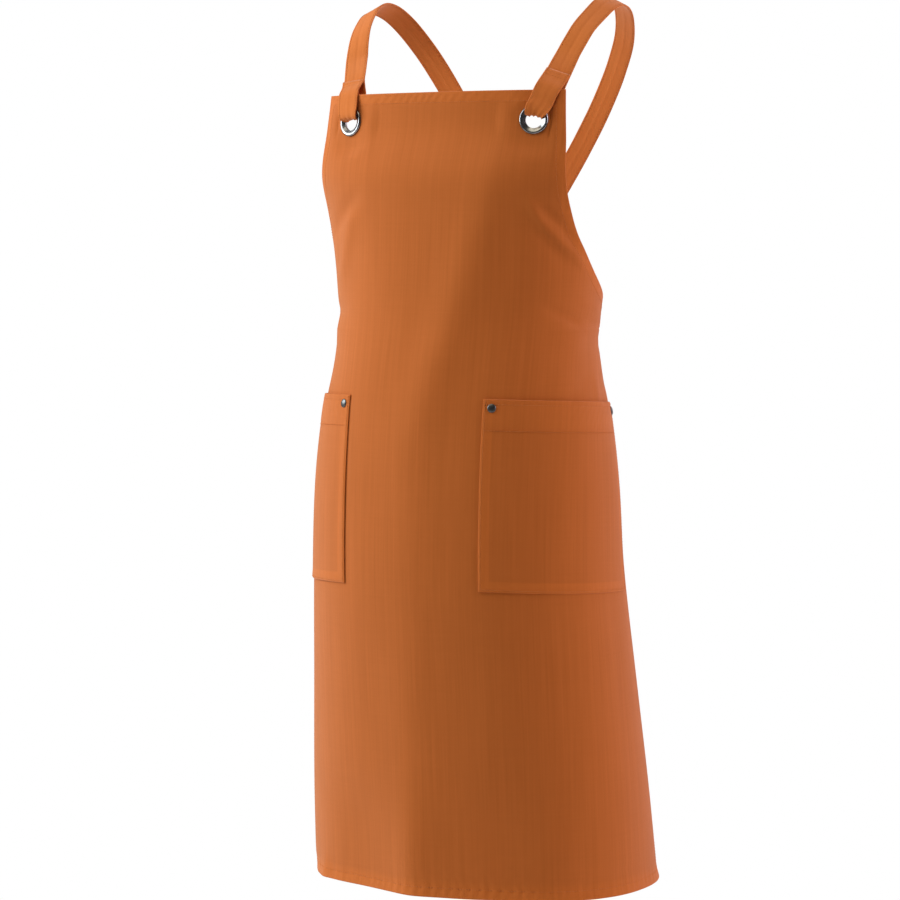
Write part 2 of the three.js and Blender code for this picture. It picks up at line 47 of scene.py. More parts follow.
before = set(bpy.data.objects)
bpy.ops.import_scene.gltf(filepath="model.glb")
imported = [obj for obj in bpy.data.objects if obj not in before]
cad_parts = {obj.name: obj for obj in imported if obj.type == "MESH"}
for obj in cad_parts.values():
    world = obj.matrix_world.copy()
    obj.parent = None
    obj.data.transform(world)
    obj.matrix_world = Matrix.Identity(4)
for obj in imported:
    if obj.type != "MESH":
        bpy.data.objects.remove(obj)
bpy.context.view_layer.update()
BODY = "root"

# The tables measure down from the bib's top edge, and the model's origin lies at the shoulders.
BIB_TOP = np.array([0.0, -0.033, -0.100])
SIDES = {"left": 1, "right": -1}


class Section(NamedTuple):
    """A horizontal section of the worn panel's outer face, a rounded oval."""

    drop: float
    half_width: float
    half_depth: float
    centre_y: float


SECTION_POWER = 2.25
SECTIONS = [
    Section(0.000, 0.1880, 0.0925, -0.0085),
    Section(0.040, 0.1940, 0.0945, -0.0110),
    Section(0.085, 0.1840, 0.1020, -0.0190),
    Section(0.125, 0.1680, 0.1045, -0.0195),
    Section(0.165, 0.1585, 0.1065, -0.0200),
    Section(0.205, 0.1525, 0.1085, -0.0210),
    Section(0.245, 0.1480, 0.1105, -0.0235),
    Section(0.290, 0.1500, 0.1150, -0.0275),
    Section(0.340, 0.1600, 0.1215, -0.0285),
    Section(0.420, 0.1705, 0.1275, -0.0285),
    Section(0.520, 0.1760, 0.1330, -0.0245),
    Section(0.640, 0.1845, 0.1370, -0.0115),
    Section(0.760, 0.1920, 0.1435, 0.0025),
    Section(0.860, 0.1955, 0.1505, 0.0145),
]


class Cut(NamedTuple):
    """Half the cloth's flat width at a drop, from the bib's corner down the armhole."""

    drop: float
    half: float


ARMHOLE = [
    Cut(0.000, 0.1510),
    Cut(0.040, 0.1540),
    Cut(0.080, 0.1595),
    Cut(0.110, 0.1635),
    Cut(0.135, 0.1710),
    Cut(0.151, 0.1785),
    Cut(0.167, 0.1900),
    Cut(0.183, 0.2040),
    Cut(0.199, 0.2230),
    Cut(0.213, 0.2470),
    Cut(0.227, 0.2800),
    Cut(0.241, 0.3190),
    Cut(0.254, 0.3600),
]
WAIST_DROP = ARMHOLE[-1].drop
PANEL_HALF_WIDTH = ARMHOLE[-1].half


class Fold(NamedTuple):
    """A soft ridge along a line on the flat cloth, or a valley where the height is negative."""

    from_s: float
    from_drop: float
    to_s: float
    to_drop: float
    width: float
    height: float


FOLDS = [
    Fold(0.120, 0.114, 0.166, 0.160, 0.011, 0.0013),
    Fold(0.138, 0.226, 0.190, 0.244, 0.008, -0.0011),
    Fold(0.140, 0.250, 0.196, 0.266, 0.011, 0.0009),
    Fold(0.142, 0.292, 0.190, 0.304, 0.009, 0.0009),
    Fold(-0.205, 0.236, -0.110, 0.233, 0.008, -0.0016),
    Fold(-0.205, 0.254, -0.112, 0.258, 0.009, 0.0014),
]

# Creases and soft bends that only the finished cloth has, the first six down its centre front
CREASES = [
    Fold(0.0910, 0.070, 0.0090, 0.360, 0.0280, 0.0042),
    Fold(0.0050, 0.330, 0.0040, 0.640, 0.0340, 0.0024),
    Fold(0.0040, 0.600, -0.0040, 0.900, 0.0360, 0.0034),
    Fold(0.0000, 0.760, -0.0080, 0.980, 0.0220, 0.0030),
    Fold(-0.0800, 0.750, -0.0800, 0.970, 0.0450, -0.0050),
    Fold(0.1000, 0.730, 0.1020, 0.990, 0.0500, -0.0048),
    Fold(-0.1720, 0.860, -0.2520, 0.860, 0.0120, -0.0030),
    Fold(-0.1440, 0.840, -0.1440, 0.880, 0.0110, 0.0022),
    Fold(0.1437, 0.001, 0.1330, 0.0235, 0.0014, -0.0015),
    Fold(0.1354, 0.021, 0.1368, 0.031, 0.0014, -0.0014),
    Fold(0.1368, 0.030, 0.1356, 0.049, 0.0014, -0.0014),
    Fold(-0.1300, 0.022, -0.1312, 0.042, 0.0022, -0.0009),
    Fold(0.0960, 0.0125, 0.1120, 0.0105, 0.0026, 0.0007),
    Fold(0.1190, 0.113, 0.1420, 0.148, 0.0055, 0.0015),
    Fold(0.1380, 0.143, 0.1900, 0.185, 0.0060, 0.0018),
    Fold(0.1320, 0.120, 0.1760, 0.161, 0.0065, -0.0021),
    Fold(0.1270, 0.142, 0.1600, 0.178, 0.0080, -0.0010),
    Fold(-0.0880, 0.109, -0.1460, 0.152, 0.0100, -0.0021),
    Fold(-0.0950, 0.122, -0.1260, 0.202, 0.0120, 0.0016),
    Fold(0.1460, 0.231, 0.1900, 0.244, 0.0055, -0.0012),
    Fold(0.1780, 0.241, 0.2460, 0.250, 0.0060, -0.0015),
    Fold(0.1850, 0.222, 0.2350, 0.230, 0.0075, 0.0009),
    Fold(0.2050, 0.262, 0.3000, 0.268, 0.0130, -0.0022),
    Fold(0.1760, 0.2815, 0.1420, 0.299, 0.0060, -0.0009),
    Fold(0.2130, 0.307, 0.1800, 0.325, 0.0055, -0.0011),
    Fold(0.2280, 0.304, 0.2360, 0.326, 0.0080, 0.0009),
    Fold(0.2760, 0.310, 0.2420, 0.329, 0.0060, -0.0013),
    Fold(0.2300, 0.831, 0.2800, 0.836, 0.0035, -0.0012),
    Fold(0.2320, 0.824, 0.2820, 0.828, 0.0060, 0.0008),
]


class LoopRow(NamedTuple):
    """A strap where it doubles through its eyelet, from its sewn free end to the main run.

    along runs up the strap from the eyelet's middle and out is the distance in front of the cloth.
    bend is how far the strap is cupped across. lean is its slant away from the upright and turn is
    how far its face turns to the wearer's left, both in degrees.
    """

    along: float
    out: float
    width: float
    bend: float
    lean: float
    turn: float


LOOPS = {
    "left": [
        LoopRow(0.0580, -0.0148, 0.0270, 0, 22.5, 0),
        LoopRow(0.0490, -0.0084, 0.0270, 0, 22.6, 0),
        LoopRow(0.0400, -0.0008, 0.0268, 0, 22.9, 0),
        LoopRow(0.0310, 0.0016, 0.0263, -2, 22.0, 1),
        LoopRow(0.0220, 0.0021, 0.0262, -2, 22.6, 3),
        LoopRow(0.0155, 0.0038, 0.0258, 2, 21.5, 5),
        LoopRow(0.0105, 0.0044, 0.0243, 16, 16.0, 4),
        LoopRow(0.0068, 0.0034, 0.0216, 34, 9.0, 2),
        LoopRow(0.0050, 0.0002, 0.0178, 44, 5.0, 0),
        LoopRow(0.0066, -0.0028, 0.0196, 42, 14.0, 0),
        LoopRow(0.0102, -0.0050, 0.0222, 30, 24.0, 0),
        LoopRow(0.0155, -0.0056, 0.0250, 15, 29.0, 0),
        LoopRow(0.0220, -0.0060, 0.0265, 5, 28.5, 0),
        LoopRow(0.0310, -0.0072, 0.0270, 0, 26.5, 0),
        LoopRow(0.0400, -0.0098, 0.0270, 0, 25.0, 0),
        LoopRow(0.0490, -0.0132, 0.0270, 0, 23.5, 0),
        LoopRow(0.0580, -0.0176, 0.0270, 0, 22.5, 0),
    ],
    "right": [
        LoopRow(0.0500, -0.0113, 0.0270, 0, 19.0, 16),
        LoopRow(0.0450, -0.0086, 0.0270, 0, 17.5, 14),
        LoopRow(0.0400, -0.0042, 0.0270, 0, 15.0, 11),
        LoopRow(0.0345, 0.0006, 0.0270, 0, 13.0, 8),
        LoopRow(0.0285, 0.0032, 0.0270, 0, 11.0, 7),
        LoopRow(0.0220, 0.0044, 0.0270, 0, 10.5, 7),
        LoopRow(0.0155, 0.0056, 0.0270, 0, 9.0, 6),
        LoopRow(0.0095, 0.0062, 0.0266, 3, 7.0, 4),
        LoopRow(0.0052, 0.0056, 0.0255, 8, 4.0, 2),
        LoopRow(0.0034, 0.0034, 0.0232, 18, 4.0, 0),
        LoopRow(0.0044, 0.0002, 0.0178, 44, 6.0, 0),
        LoopRow(0.0066, -0.0028, 0.0196, 42, 14.0, 0),
        LoopRow(0.0102, -0.0050, 0.0222, 30, 18.5, 3),
        LoopRow(0.0155, -0.0068, 0.0250, 15, 17.0, 8),
        LoopRow(0.0220, -0.0092, 0.0265, 5, 16.5, 14),
        LoopRow(0.0310, -0.0110, 0.0270, 0, 17.5, 17),
        LoopRow(0.0400, -0.0120, 0.0270, 0, 19.0, 17),
        LoopRow(0.0490, -0.0136, 0.0270, 0, 20.0, 17),
        LoopRow(0.0580, -0.0176, 0.0270, 0, 21.0, 17),
    ],
}
END_SKEW = {"left": -0.07, "right": 0.29}
END_SKEW_REACH = 0.020
SHOULDER_TURN = {"left": 0.0, "right": 17.0}
SHOULDER_TURN_FADE = (0.030, 0.075)


class RunRow(NamedTuple):
    """The strap's middle over the shoulder and down the back, and the way its outer face looks."""

    x: float
    y: float
    z: float
    face_x: float
    face_y: float
    face_z: float


SHOULDER_RUN = [
    RunRow(0.1325, -0.0410, 0.0420, 0.20, -0.82, 0.54),
    RunRow(0.1365, -0.0320, 0.0560, 0.21, -0.79, 0.58),
    RunRow(0.1405, -0.0205, 0.0710, 0.24, -0.68, 0.69),
    RunRow(0.1450, -0.0040, 0.0850, 0.31, -0.52, 0.80),
    RunRow(0.1480, 0.0140, 0.0965, 0.38, -0.25, 0.89),
    RunRow(0.1485, 0.0330, 0.1010, 0.42, 0.08, 0.90),
    RunRow(0.1460, 0.0540, 0.0970, 0.42, 0.38, 0.82),
    RunRow(0.1395, 0.0750, 0.0830, 0.37, 0.66, 0.65),
    RunRow(0.1290, 0.0930, 0.0610, 0.28, 0.86, 0.43),
    RunRow(0.1140, 0.1050, 0.0330, 0.20, 0.95, 0.25),
    RunRow(0.0960, 0.1120, 0.0000, 0.12, 0.98, 0.13),
    RunRow(0.0750, 0.1145, -0.0370, 0.06, 1.00, 0.03),
    RunRow(0.0530, 0.1125, -0.0750, 0.02, 1.00, -0.07),
    RunRow(0.0300, 0.1075, -0.1140, 0.00, 0.99, -0.14),
    RunRow(0.0060, 0.1005, -0.1540, -0.03, 0.98, -0.18),
    RunRow(-0.0150, 0.0935, -0.1900, -0.08, 0.98, -0.17),
]


class WaistRow(NamedTuple):
    """The strap's end on the inside of the opposite waist corner, on the flat cloth."""

    s: float
    drop: float


WAIST_RUN = [
    WaistRow(0.384, 0.224),
    WaistRow(0.360, 0.256),
    WaistRow(0.348, 0.276),
    WaistRow(0.336, 0.297),
]
WAIST_BEND = 1 / 0.130
STRAP_SEAT = 0.0054
CROSSING_LIFT = 0.0018
CROSSING_REACH = 0.034

EYELET_S = {"left": 0.1185, "right": -0.1095}
EYELET_DROP = 0.029
EYELET_FLAT_RADIUS = 0.024
EYELET_FLAT_FADE = 0.044
EYELET_HOLE = 0.0118
CREASE_FADE = (0.0156, 0.0172)


def length_property(name, description, default):
    """A size in metres that a user would change."""
    return FloatProperty(name=name, description=description, default=default, unit="LENGTH", precision=5)


def colour_property(name, description, default):
    """A linear colour that a user would change."""
    return FloatVectorProperty(
        name=name, description=description, default=default, subtype="COLOR", size=3, min=0, max=1
    )


def power_property(name, default):
    """A light's power in watts."""
    return FloatProperty(name=name, description="Power of this light", default=default, unit="POWER")


class PanelSizes(bpy.types.PropertyGroup):
    """Sizes of the cloth panel, the bib and the skirt in one."""

    length: length_property("Length", "From the bib's top edge to the hem", 0.860)
    cloth: length_property("Cloth", "Thickness of the single cloth", 0.0012)
    hem_width: length_property("Hem width", "From the folded edge to the hem's inner edge", 0.012)
    hem_thick: length_property("Hem thickness", "Thickness of the folded hem", 0.0022)
    hem_stitch: length_property("Hem stitch", "From the folded edge to the hem's stitches", 0.0104)
    pucker_pitch: length_property("Pucker pitch", "From one pucker along the hem to the next", 0.0107)
    pucker_height: length_property("Pucker height", "How far the hem's puckers stand out", 0.0003)


class PocketSizes(bpy.types.PropertyGroup):
    """Sizes of the patch pockets."""

    inner: length_property("Inner edge", "From the centre front to the pocket's inner edge", 0.084)
    outer: length_property("Outer edge", "From the centre front to the pocket's outer edge", 0.288)
    top: length_property("Top", "From the bib's top edge down to the pocket's top edge", 0.323)
    bottom: length_property("Bottom", "From the bib's top edge down to the pocket's bottom", 0.526)
    droop: length_property("Droop", "How much lower the outer edge hangs", 0.0095)
    cloth: length_property("Cloth", "Thickness of the single cloth", 0.0009)
    edge_thick: length_property("Edge thickness", "Thickness of the turned edges", 0.0016)
    impression: length_property("Impression", "How far the turned edges show through", 0.0004)
    pressed: length_property("Pressed edge", "How far the stitches press the edges flat", 0.0005)
    band: length_property("Top band", "Depth of the hem along the mouth", 0.034)
    edge: length_property("Turned edge", "Width of the turned edge at the sides and bottom", 0.011)
    edge_stitch: length_property("Edge stitch", "From the edges to their stitches", 0.0024)
    mouth_stitch: length_property("Mouth stitch", "From the mouth to its upper stitches", 0.0055)
    gap: length_property("Gap", "Between the pocket's seams and the panel", 0.0004)
    gape: length_property("Gape", "How far the mouth stands off the panel", 0.0013)
    gape_depth: length_property("Gape depth", "How far down the mouth stands off", 0.070)


class StrapSizes(bpy.types.PropertyGroup):
    """Sizes of the folded straps."""

    width: length_property("Width", "Width of the flat strap", 0.027)
    thick: length_property("Thickness", "Thickness of the folded strap", 0.0019)
    edge_stitch: length_property("Edge stitch", "From the edges to their stitches", 0.0023)
    gather: length_property("Gather", "Depth of the gathers at the eyelet", 0.0012)


class MetalSizes(bpy.types.PropertyGroup):
    """Sizes of the eyelets and rivets."""

    eyelet_bore: length_property("Eyelet bore", "Radius of the eyelet's hole", 0.0091)
    eyelet_flange: length_property("Eyelet flange", "Outer radius of the eyelet", 0.0158)
    eyelet_rise: length_property("Eyelet rise", "Height of the rolled ring above the cloth", 0.0025)
    eyelet_back: length_property("Eyelet back", "Outer radius of the ring behind the cloth", 0.015)
    rivet_radius: length_property("Rivet radius", "Radius of the rivet's cap", 0.0047)
    rivet_rise: length_property("Rivet rise", "Height of the rivet's cap", 0.0021)
    rivet_inset: length_property("Rivet inset", "From the pocket's edges to the rivet's middle", 0.0095)
    rivet_back: length_property("Rivet back", "Radius of the plate behind the cloth", 0.0045)


class StitchSizes(bpy.types.PropertyGroup):
    """Sizes of the sewing."""

    length: length_property("Length", "Length of one stitch that shows", 0.0027)
    pitch: length_property("Pitch", "From one stitch to the next", 0.0033)
    thread: length_property("Thread", "Radius of the thread", 0.00028)


class ApronColours(bpy.types.PropertyGroup):
    """Colours of the apron's finishes."""

    # The dark colours are partly painted shade: the weave gives them to its sunken yarns, and the slubs to
    # their own darker tone.
    cloth_light: colour_property("Cloth, light", "Raised yarns of the panel", (0.52, 0.125, 0.017))
    cloth_dark: colour_property("Cloth, dark", "Sunken yarns of the panel", (0.40, 0.094, 0.011))
    # The straps' colours are lighter than the panel's, partly as painted light that stands in for light from
    # above on the straps.
    strap_light: colour_property("Strap, light", "Raised yarns of the straps", (0.64, 0.170, 0.030))
    strap_dark: colour_property("Strap, dark", "Sunken yarns of the straps", (0.506, 0.129, 0.020))
    thread: colour_property("Thread", "Sewing thread", (0.56, 0.165, 0.035))
    nickel_light: colour_property("Nickel, light", "Clean antique nickel", (0.30, 0.295, 0.31))
    nickel_dark: colour_property("Nickel, dark", "Darkened antique nickel", (0.10, 0.098, 0.105))
    gunmetal_light: colour_property("Gunmetal, light", "Rubbed gunmetal", (0.15, 0.147, 0.149))
    gunmetal_dark: colour_property("Gunmetal, dark", "Dark gunmetal", (0.05, 0.048, 0.049))
    floor: colour_property("Floor", "Plain pale floor", (0.86, 0.86, 0.86))


class StageSettings(bpy.types.PropertyGroup):
    """The camera, the floor and the lights."""

    camera_place: FloatVectorProperty(
        name="Camera place", description="Where the camera stands",
        default=(1.8282, -3.2032, -0.2232), unit="LENGTH", precision=4,
    )
    camera_aim: FloatVectorProperty(
        name="Camera aim", description="The point in the picture's middle",
        default=(-0.0280, -0.0495, -0.4881), unit="LENGTH", precision=4,
    )
    lens: FloatProperty(name="Lens", description="Focal length in millimetres", default=133.12)
    floor_drop: length_property("Floor", "From the shoulders down to the floor", 1.42)
    left_power: power_property("Left light", 141.0)
    front_power: power_property("Front light", 37.0)
    right_power: power_property("Right light", 78.0)
    back_power: power_property("Back light", 40.0)
    room_light: FloatProperty(name="Room light", description="Strength of the even light", default=0.07)


class ApronSettings(bpy.types.PropertyGroup):
    """All the sizes and colours of the apron."""

    panel: PointerProperty(type=PanelSizes)
    pocket: PointerProperty(type=PocketSizes)
    strap: PointerProperty(type=StrapSizes)
    metal: PointerProperty(type=MetalSizes)
    stitch: PointerProperty(type=StitchSizes)
    colour: PointerProperty(type=ApronColours)
    stage: PointerProperty(type=StageSettings)


def settings():
    """The apron's settings in the open scene."""
    return bpy.context.scene.apron


# Shapes of the worn cloth


UPWARDS = np.array([0.0, 0.0, 1.0])


def unit(vectors):
    """The vectors at length one."""
    return vectors / np.linalg.norm(vectors, axis=-1, keepdims=True)


def smooth_step(value, low, high):
    """Rises smoothly from 0 at low to 1 at high."""
    u = np.clip((value - low) / (high - low), 0, 1)
    return u * u * (3 - 2 * u)


def column_at(rows, column, place):
    """One column of a table at any places along its first column, on a smooth cubic."""
    at = np.array([row[0] for row in rows])
    value = np.array([getattr(row, column) for row in rows])
    last = len(rows) - 1
    low = np.maximum(np.arange(last + 1) - 1, 0)
    high = np.minimum(np.arange(last + 1) + 1, last)
    slope = (value[high] - value[low]) / (at[high] - at[low])
    i = np.clip(np.searchsorted(at, place) - 1, 0, last - 1)
    span = at[i + 1] - at[i]
    u = (place - at[i]) / span
    rise = u * u * (3 - 2 * u)
    start = u * (1 - u) ** 2 * span * slope[i]
    end = u * u * (u - 1) * span * slope[i + 1]
    return value[i] * (1 - rise) + value[i + 1] * rise + start + end


RING_STEPS = 720
FORM_DROPS = np.arange(-0.010, 0.875, 0.002)
FORM_REACH = np.arange(0.0, 0.440, 0.001)


def worn_form():
    """The worn form's x and y on an even grid of drops and of lengths along the cloth."""
    turn = np.linspace(0, math.pi, RING_STEPS + 1)
    roundness = 2 / SECTION_POWER
    cosine = np.cos(turn)
    unit_x = np.abs(np.sin(turn)) ** roundness
    unit_y = -np.sign(cosine) * np.abs(cosine) ** roundness
    half_width = column_at(SECTIONS, "half_width", FORM_DROPS)
    half_depth = column_at(SECTIONS, "half_depth", FORM_DROPS)
    centre_y = column_at(SECTIONS, "centre_y", FORM_DROPS)
    form = np.zeros((len(FORM_DROPS), len(FORM_REACH), 2))
    for i in range(len(FORM_DROPS)):
        ring_x = half_width[i] * unit_x
        ring_y = centre_y[i] + half_depth[i] * unit_y
        step = np.hypot(np.diff(ring_x), np.diff(ring_y))
        length = np.concatenate([[0.0], np.cumsum(step)])
        form[i, :, 0] = np.interp(FORM_REACH, length, ring_x)
        form[i, :, 1] = np.interp(FORM_REACH, length, ring_y)
    return form


WORN_FORM = worn_form()


def form_point(s, drop):
    """The smooth worn form, without folds."""
    s, drop = np.broadcast_arrays(s, drop)
    row = (drop - FORM_DROPS[0]) / (FORM_DROPS[1] - FORM_DROPS[0])
    column = np.abs(s) / FORM_REACH[1]
    i = np.clip(row.astype(int), 0, len(FORM_DROPS) - 2)
    j = np.clip(column.astype(int), 0, len(FORM_REACH) - 2)
    u = (row - i)[..., None]
    v = (column - j)[..., None]
    upper = WORN_FORM[i, j] * (1 - v) + WORN_FORM[i, j + 1] * v
    lower = WORN_FORM[i + 1, j] * (1 - v) + WORN_FORM[i + 1, j + 1] * v
    point = upper * (1 - u) + lower * u
    return np.stack([np.sign(s) * point[..., 0], point[..., 1], -drop], axis=-1)


# The bib's top edge is cut a little higher than level, more so at the wearer's left.
TOP_EDGE_RISE = 0.0018
TOP_EDGE_SLOPE = 0.008
TOP_EDGE_REACH = 0.020

# The bottom hem turns outwards below its stitches.
HEM_FLARE = 0.0022
HEM_FLARE_REACH = 0.0125
HEM_FLARE_POWER = 1.2

# The cloth's faint waves: their heights, the lengths over which they turn and how far they sway.
UPRIGHT_HEIGHT = 0.00012
UPRIGHT_ACROSS = 0.0165
UPRIGHT_SWAY = 1.3
UPRIGHT_SWAY_DROP = 0.140
UPRIGHT_FADE_DROP = 0.170
UPRIGHT_FADE_ACROSS = 0.090
SLANT_HEIGHT = 0.00018
SLANT_ACROSS = 0.031
SLANT_DROP = 0.068
SLANT_SWAY = 0.8
SLANT_SWAY_ACROSS = 0.050

NORMAL_STEP = 0.002


def outward(surface, s, drop):
    """The outward direction of a surface that is given as a function of s and drop."""
    sideways = surface(s + NORMAL_STEP, drop) - surface(s - NORMAL_STEP, drop)
    down = surface(s, drop + NORMAL_STEP) - surface(s, drop - NORMAL_STEP)
    return unit(np.cross(down, sideways))


def fold_height(folds, s, drop):
    """The height of a table of folds at places on the flat cloth."""
    height = np.zeros(np.broadcast(s, drop).shape)
    for fold in folds:
        run_s = fold.to_s - fold.from_s
        run_drop = fold.to_drop - fold.from_drop
        length = math.hypot(run_s, run_drop)
        along = ((s - fold.from_s) * run_s + (drop - fold.from_drop) * run_drop) / length
        aside = ((s - fold.from_s) * run_drop - (drop - fold.from_drop) * run_s) / length
        middle = 2 * along / length - 1
        height = height + fold.height * np.exp(-((aside / fold.width) ** 2) - middle**4)
    return height


EYELET_SEATS = {
    side_name: (form_point(s, EYELET_DROP), outward(form_point, s, EYELET_DROP))
    for side_name, s in EYELET_S.items()
}


def worn_point(s, drop):
    """The panel's outer face: the worn form with its folds, pressed flat round each eyelet."""
    point = form_point(s, drop)
    point = point + outward(form_point, s, drop) * fold_height(FOLDS, s, drop)[..., None]
    for centre, axis in EYELET_SEATS.values():
        arm = point - centre
        fade = smooth_step(np.linalg.norm(arm, axis=-1), EYELET_FLAT_RADIUS, EYELET_FLAT_FADE)
        point = point - axis * ((arm @ axis) * (1 - fade))[..., None]
    return point


def ripple(s, drop):
    """The cloth's faint unevenness: a fraction of a millimetre, in long upright waves."""
    upright = np.sin(s / UPRIGHT_ACROSS + UPRIGHT_SWAY * np.sin(drop / UPRIGHT_SWAY_DROP))
    upright = upright * np.sin(drop / UPRIGHT_FADE_DROP + s / UPRIGHT_FADE_ACROSS)
    slant = np.sin(s / SLANT_ACROSS - drop / SLANT_DROP + SLANT_SWAY * np.sin(s / SLANT_SWAY_ACROSS))
    return UPRIGHT_HEIGHT * upright + SLANT_HEIGHT * slant


def hem_flare(drop):
    """How far the bottom hem turns outwards below its stitches."""
    below = np.clip(1 - (SECTIONS[-1].drop - drop) / HEM_FLARE_REACH, 0, 1)
    return HEM_FLARE * below**HEM_FLARE_POWER


def cloth_point(s, drop, rise):
    """A point of the finished cloth, at a height above the panel's outer face."""
    relief = fold_height(CREASES, s, drop) + ripple(s, drop) + hem_flare(drop)
    for centre, _ in EYELET_SEATS.values():
        away = np.linalg.norm(form_point(s, drop) - centre, axis=-1)
        relief = relief * smooth_step(away, *CREASE_FADE)
    height = np.asarray(rise + relief)[..., None]
    point = worn_point(s, drop) + outward(worn_point, s, drop) * height
    point[..., 2] += (TOP_EDGE_RISE + TOP_EDGE_SLOPE * s) * (1 - smooth_step(drop, 0, TOP_EDGE_REACH))
    return point


def half_width_at(drop):
    """Half the cloth's flat width at a drop."""
    return np.where(drop < WAIST_DROP, column_at(ARMHOLE, "half", drop), PANEL_HALF_WIDTH)


HEM_SLANT_LIMIT = 3.0
SLANT_STEP = 0.001
LEAST_HALF_WALL = 0.00006


def hem_slant_at(drop):
    """How much further along s the side hem reaches where its edge slants."""
    slope = (half_width_at(drop + SLANT_STEP) - half_width_at(drop - SLANT_STEP)) / (2 * SLANT_STEP)
    return np.minimum(np.hypot(1, slope), HEM_SLANT_LIMIT)


def rounded_edge(distance, thick):
    """How far a folded edge draws in, on each face, at a distance from the very edge."""
    half = thick / 2
    short = np.clip(half - distance, 0, half)
    return np.minimum(half - np.sqrt(half**2 - short**2), half - LEAST_HALF_WALL)


class Dent(NamedTuple):
    """A dent in the cloth, along a row of stitches or round a rivet."""

    depth: float
    half_width: float


HEM_DENT = Dent(0.00010, 0.0018)
POCKET_EDGE_DENT = Dent(0.00020, 0.0009)
POCKET_MOUTH_DENT = Dent(0.00012, 0.0012)
POCKET_BAND_DENT = Dent(0.00012, 0.0014)
POCKET_RIVET_DENT = Dent(0.0004, 0.0075)
STRAP_DENT = Dent(0.00020, 0.0009)


def dent_at(distance, dent):
    """The height of a dent, which is negative, at a distance from its middle."""
    return -dent.depth * np.exp(-((distance / dent.half_width) ** 2))


def length_along(points):
    """The length so far at each point of a line."""
    step = np.linalg.norm(np.diff(points, axis=0), axis=-1)
    return np.concatenate([[0.0], np.cumsum(step)])


# Meshes


def object_from(name, vertices, faces, maps=None):
    """A mesh object in the model's frame, smooth and with its faces looking outwards."""
    mesh = bpy.data.meshes.new(name)
    mesh.from_pydata((np.asarray(vertices) + BIB_TOP).tolist(), [], faces)
    corner = np.zeros(len(mesh.loops), dtype=np.int32)
    mesh.loops.foreach_get("vertex_index", corner)
    for map_name, places in (maps or {}).items():
        layer = mesh.uv_layers.new(name=map_name)
        layer.data.foreach_set("uv", places[corner].ravel())
    work = bmesh.new()
    work.from_mesh(mesh)
    bmesh.ops.recalc_face_normals(work, faces=work.faces)
    work.to_mesh(mesh)
    work.free()
    mesh.polygons.foreach_set("use_smooth", np.ones(len(mesh.polygons), dtype=bool))
    mesh.update()
    piece = bpy.data.objects.new(name, mesh)
    bpy.context.scene.collection.objects.link(piece)
    return piece


def wall_between(name, front, back, maps, keep=None):
    """A closed wall between two like grids of points. keep marks the cells that aren't cut out."""
    rows, columns = front.shape[:2]
    keep = np.ones((rows - 1, columns - 1), dtype=bool) if keep is None else keep
    index = np.arange(rows * columns).reshape(rows, columns)
    behind = rows * columns
    corners = np.stack([index[:-1, :-1], index[1:, :-1], index[1:, 1:], index[:-1, 1:]], axis=-1)[keep]
    padded = np.pad(keep, 1)
    across = padded[1:, 1:-1] != padded[:-1, 1:-1]
    down = padded[1:-1, 1:] != padded[1:-1, :-1]
    rim = np.concatenate([
        np.stack([index[:, :-1][across], index[:, 1:][across]], axis=-1),
        np.stack([index[:-1, :][down], index[1:, :][down]], axis=-1),
    ])
    rim = np.concatenate([rim, rim[:, ::-1] + behind], axis=1)
    faces = np.concatenate([corners, corners[:, ::-1] + behind, rim])
    used, faces = np.unique(faces, return_inverse=True)
    vertices = np.concatenate([front.reshape(-1, 3), back.reshape(-1, 3)])[used]
    flat = {}
    for map_name, grid in maps.items():
        flat[map_name] = np.concatenate([grid.reshape(-1, 2), grid.reshape(-1, 2)])[used]
    return object_from(name, vertices, faces.reshape(-1, 4).tolist(), flat)


def ring_faces(rings):
    """The faces between rings of vertex numbers, one ring in each row."""
    following = np.roll(rings, -1, axis=1)
    return np.stack([rings[:-1], following[:-1], following[1:], rings[1:]], axis=-1).reshape(-1, 4)


def turned(name, profile, seat, sides):
    """Rings of a (radius, height) profile about a seat's axis. Flat ends close an open profile."""
    closed = profile[0] == profile[-1]
    radius, height = np.array(profile[:-1] if closed else profile).T
    angle = np.linspace(0, 2 * math.pi, sides, endpoint=False)
    centre, axis = seat
    aside = unit(np.cross(UPWARDS, axis))
    upward = np.cross(axis, aside)
    spoke = np.cos(angle)[:, None] * aside + np.sin(angle)[:, None] * upward
    vertices = centre + radius[:, None, None] * spoke + (height[:, None] * axis)[:, None, :]
    rings = np.arange(len(radius) * sides).reshape(-1, sides)
    if closed:
        faces = ring_faces(np.concatenate([rings, rings[:1]])).tolist()
    else:
        faces = ring_faces(rings).tolist() + [rings[0].tolist(), rings[-1].tolist()]
    return object_from(name, vertices.reshape(-1, 3), faces)


def finished(piece, material, slot, *nodes):
    """Dresses a piece and ties it to the model."""
    piece.data.materials.append(material)
    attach(piece, BODY)
    if nodes:
        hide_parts(*nodes)


# Sewing


class Run(NamedTuple):
    """A row of stitches: the line they follow and the way that the cloth faces along it."""

    points: np.ndarray
    normals: np.ndarray


def cloth_run(s, drop, rise):
    """A row of stitches on the panel's outer face, or at a height above it."""
    return Run(cloth_point(s, drop, rise), outward(worn_point, s, drop))


def resampled(values, length, places):
    """A line's values at places along its length."""
    return np.stack([np.interp(places, length, column) for column in values.T], axis=-1)


class ThreadRing(NamedTuple):
    """A ring of one stitch's thread: its place from one end at -1 to the other at 1, and its girth and
    lift as shares of the thread's radius."""

    along: float
    girth: float
    lift: float


THREAD_RINGS = [
    ThreadRing(-1.0, 0.55, -1.0),
    ThreadRing(-0.62, 0.95, 0.25),
    ThreadRing(0.0, 1.0, 0.55),
    ThreadRing(0.62, 0.95, 0.25),
    ThreadRing(1.0, 0.55, -1.0),
]
THREAD_SIDES = 6


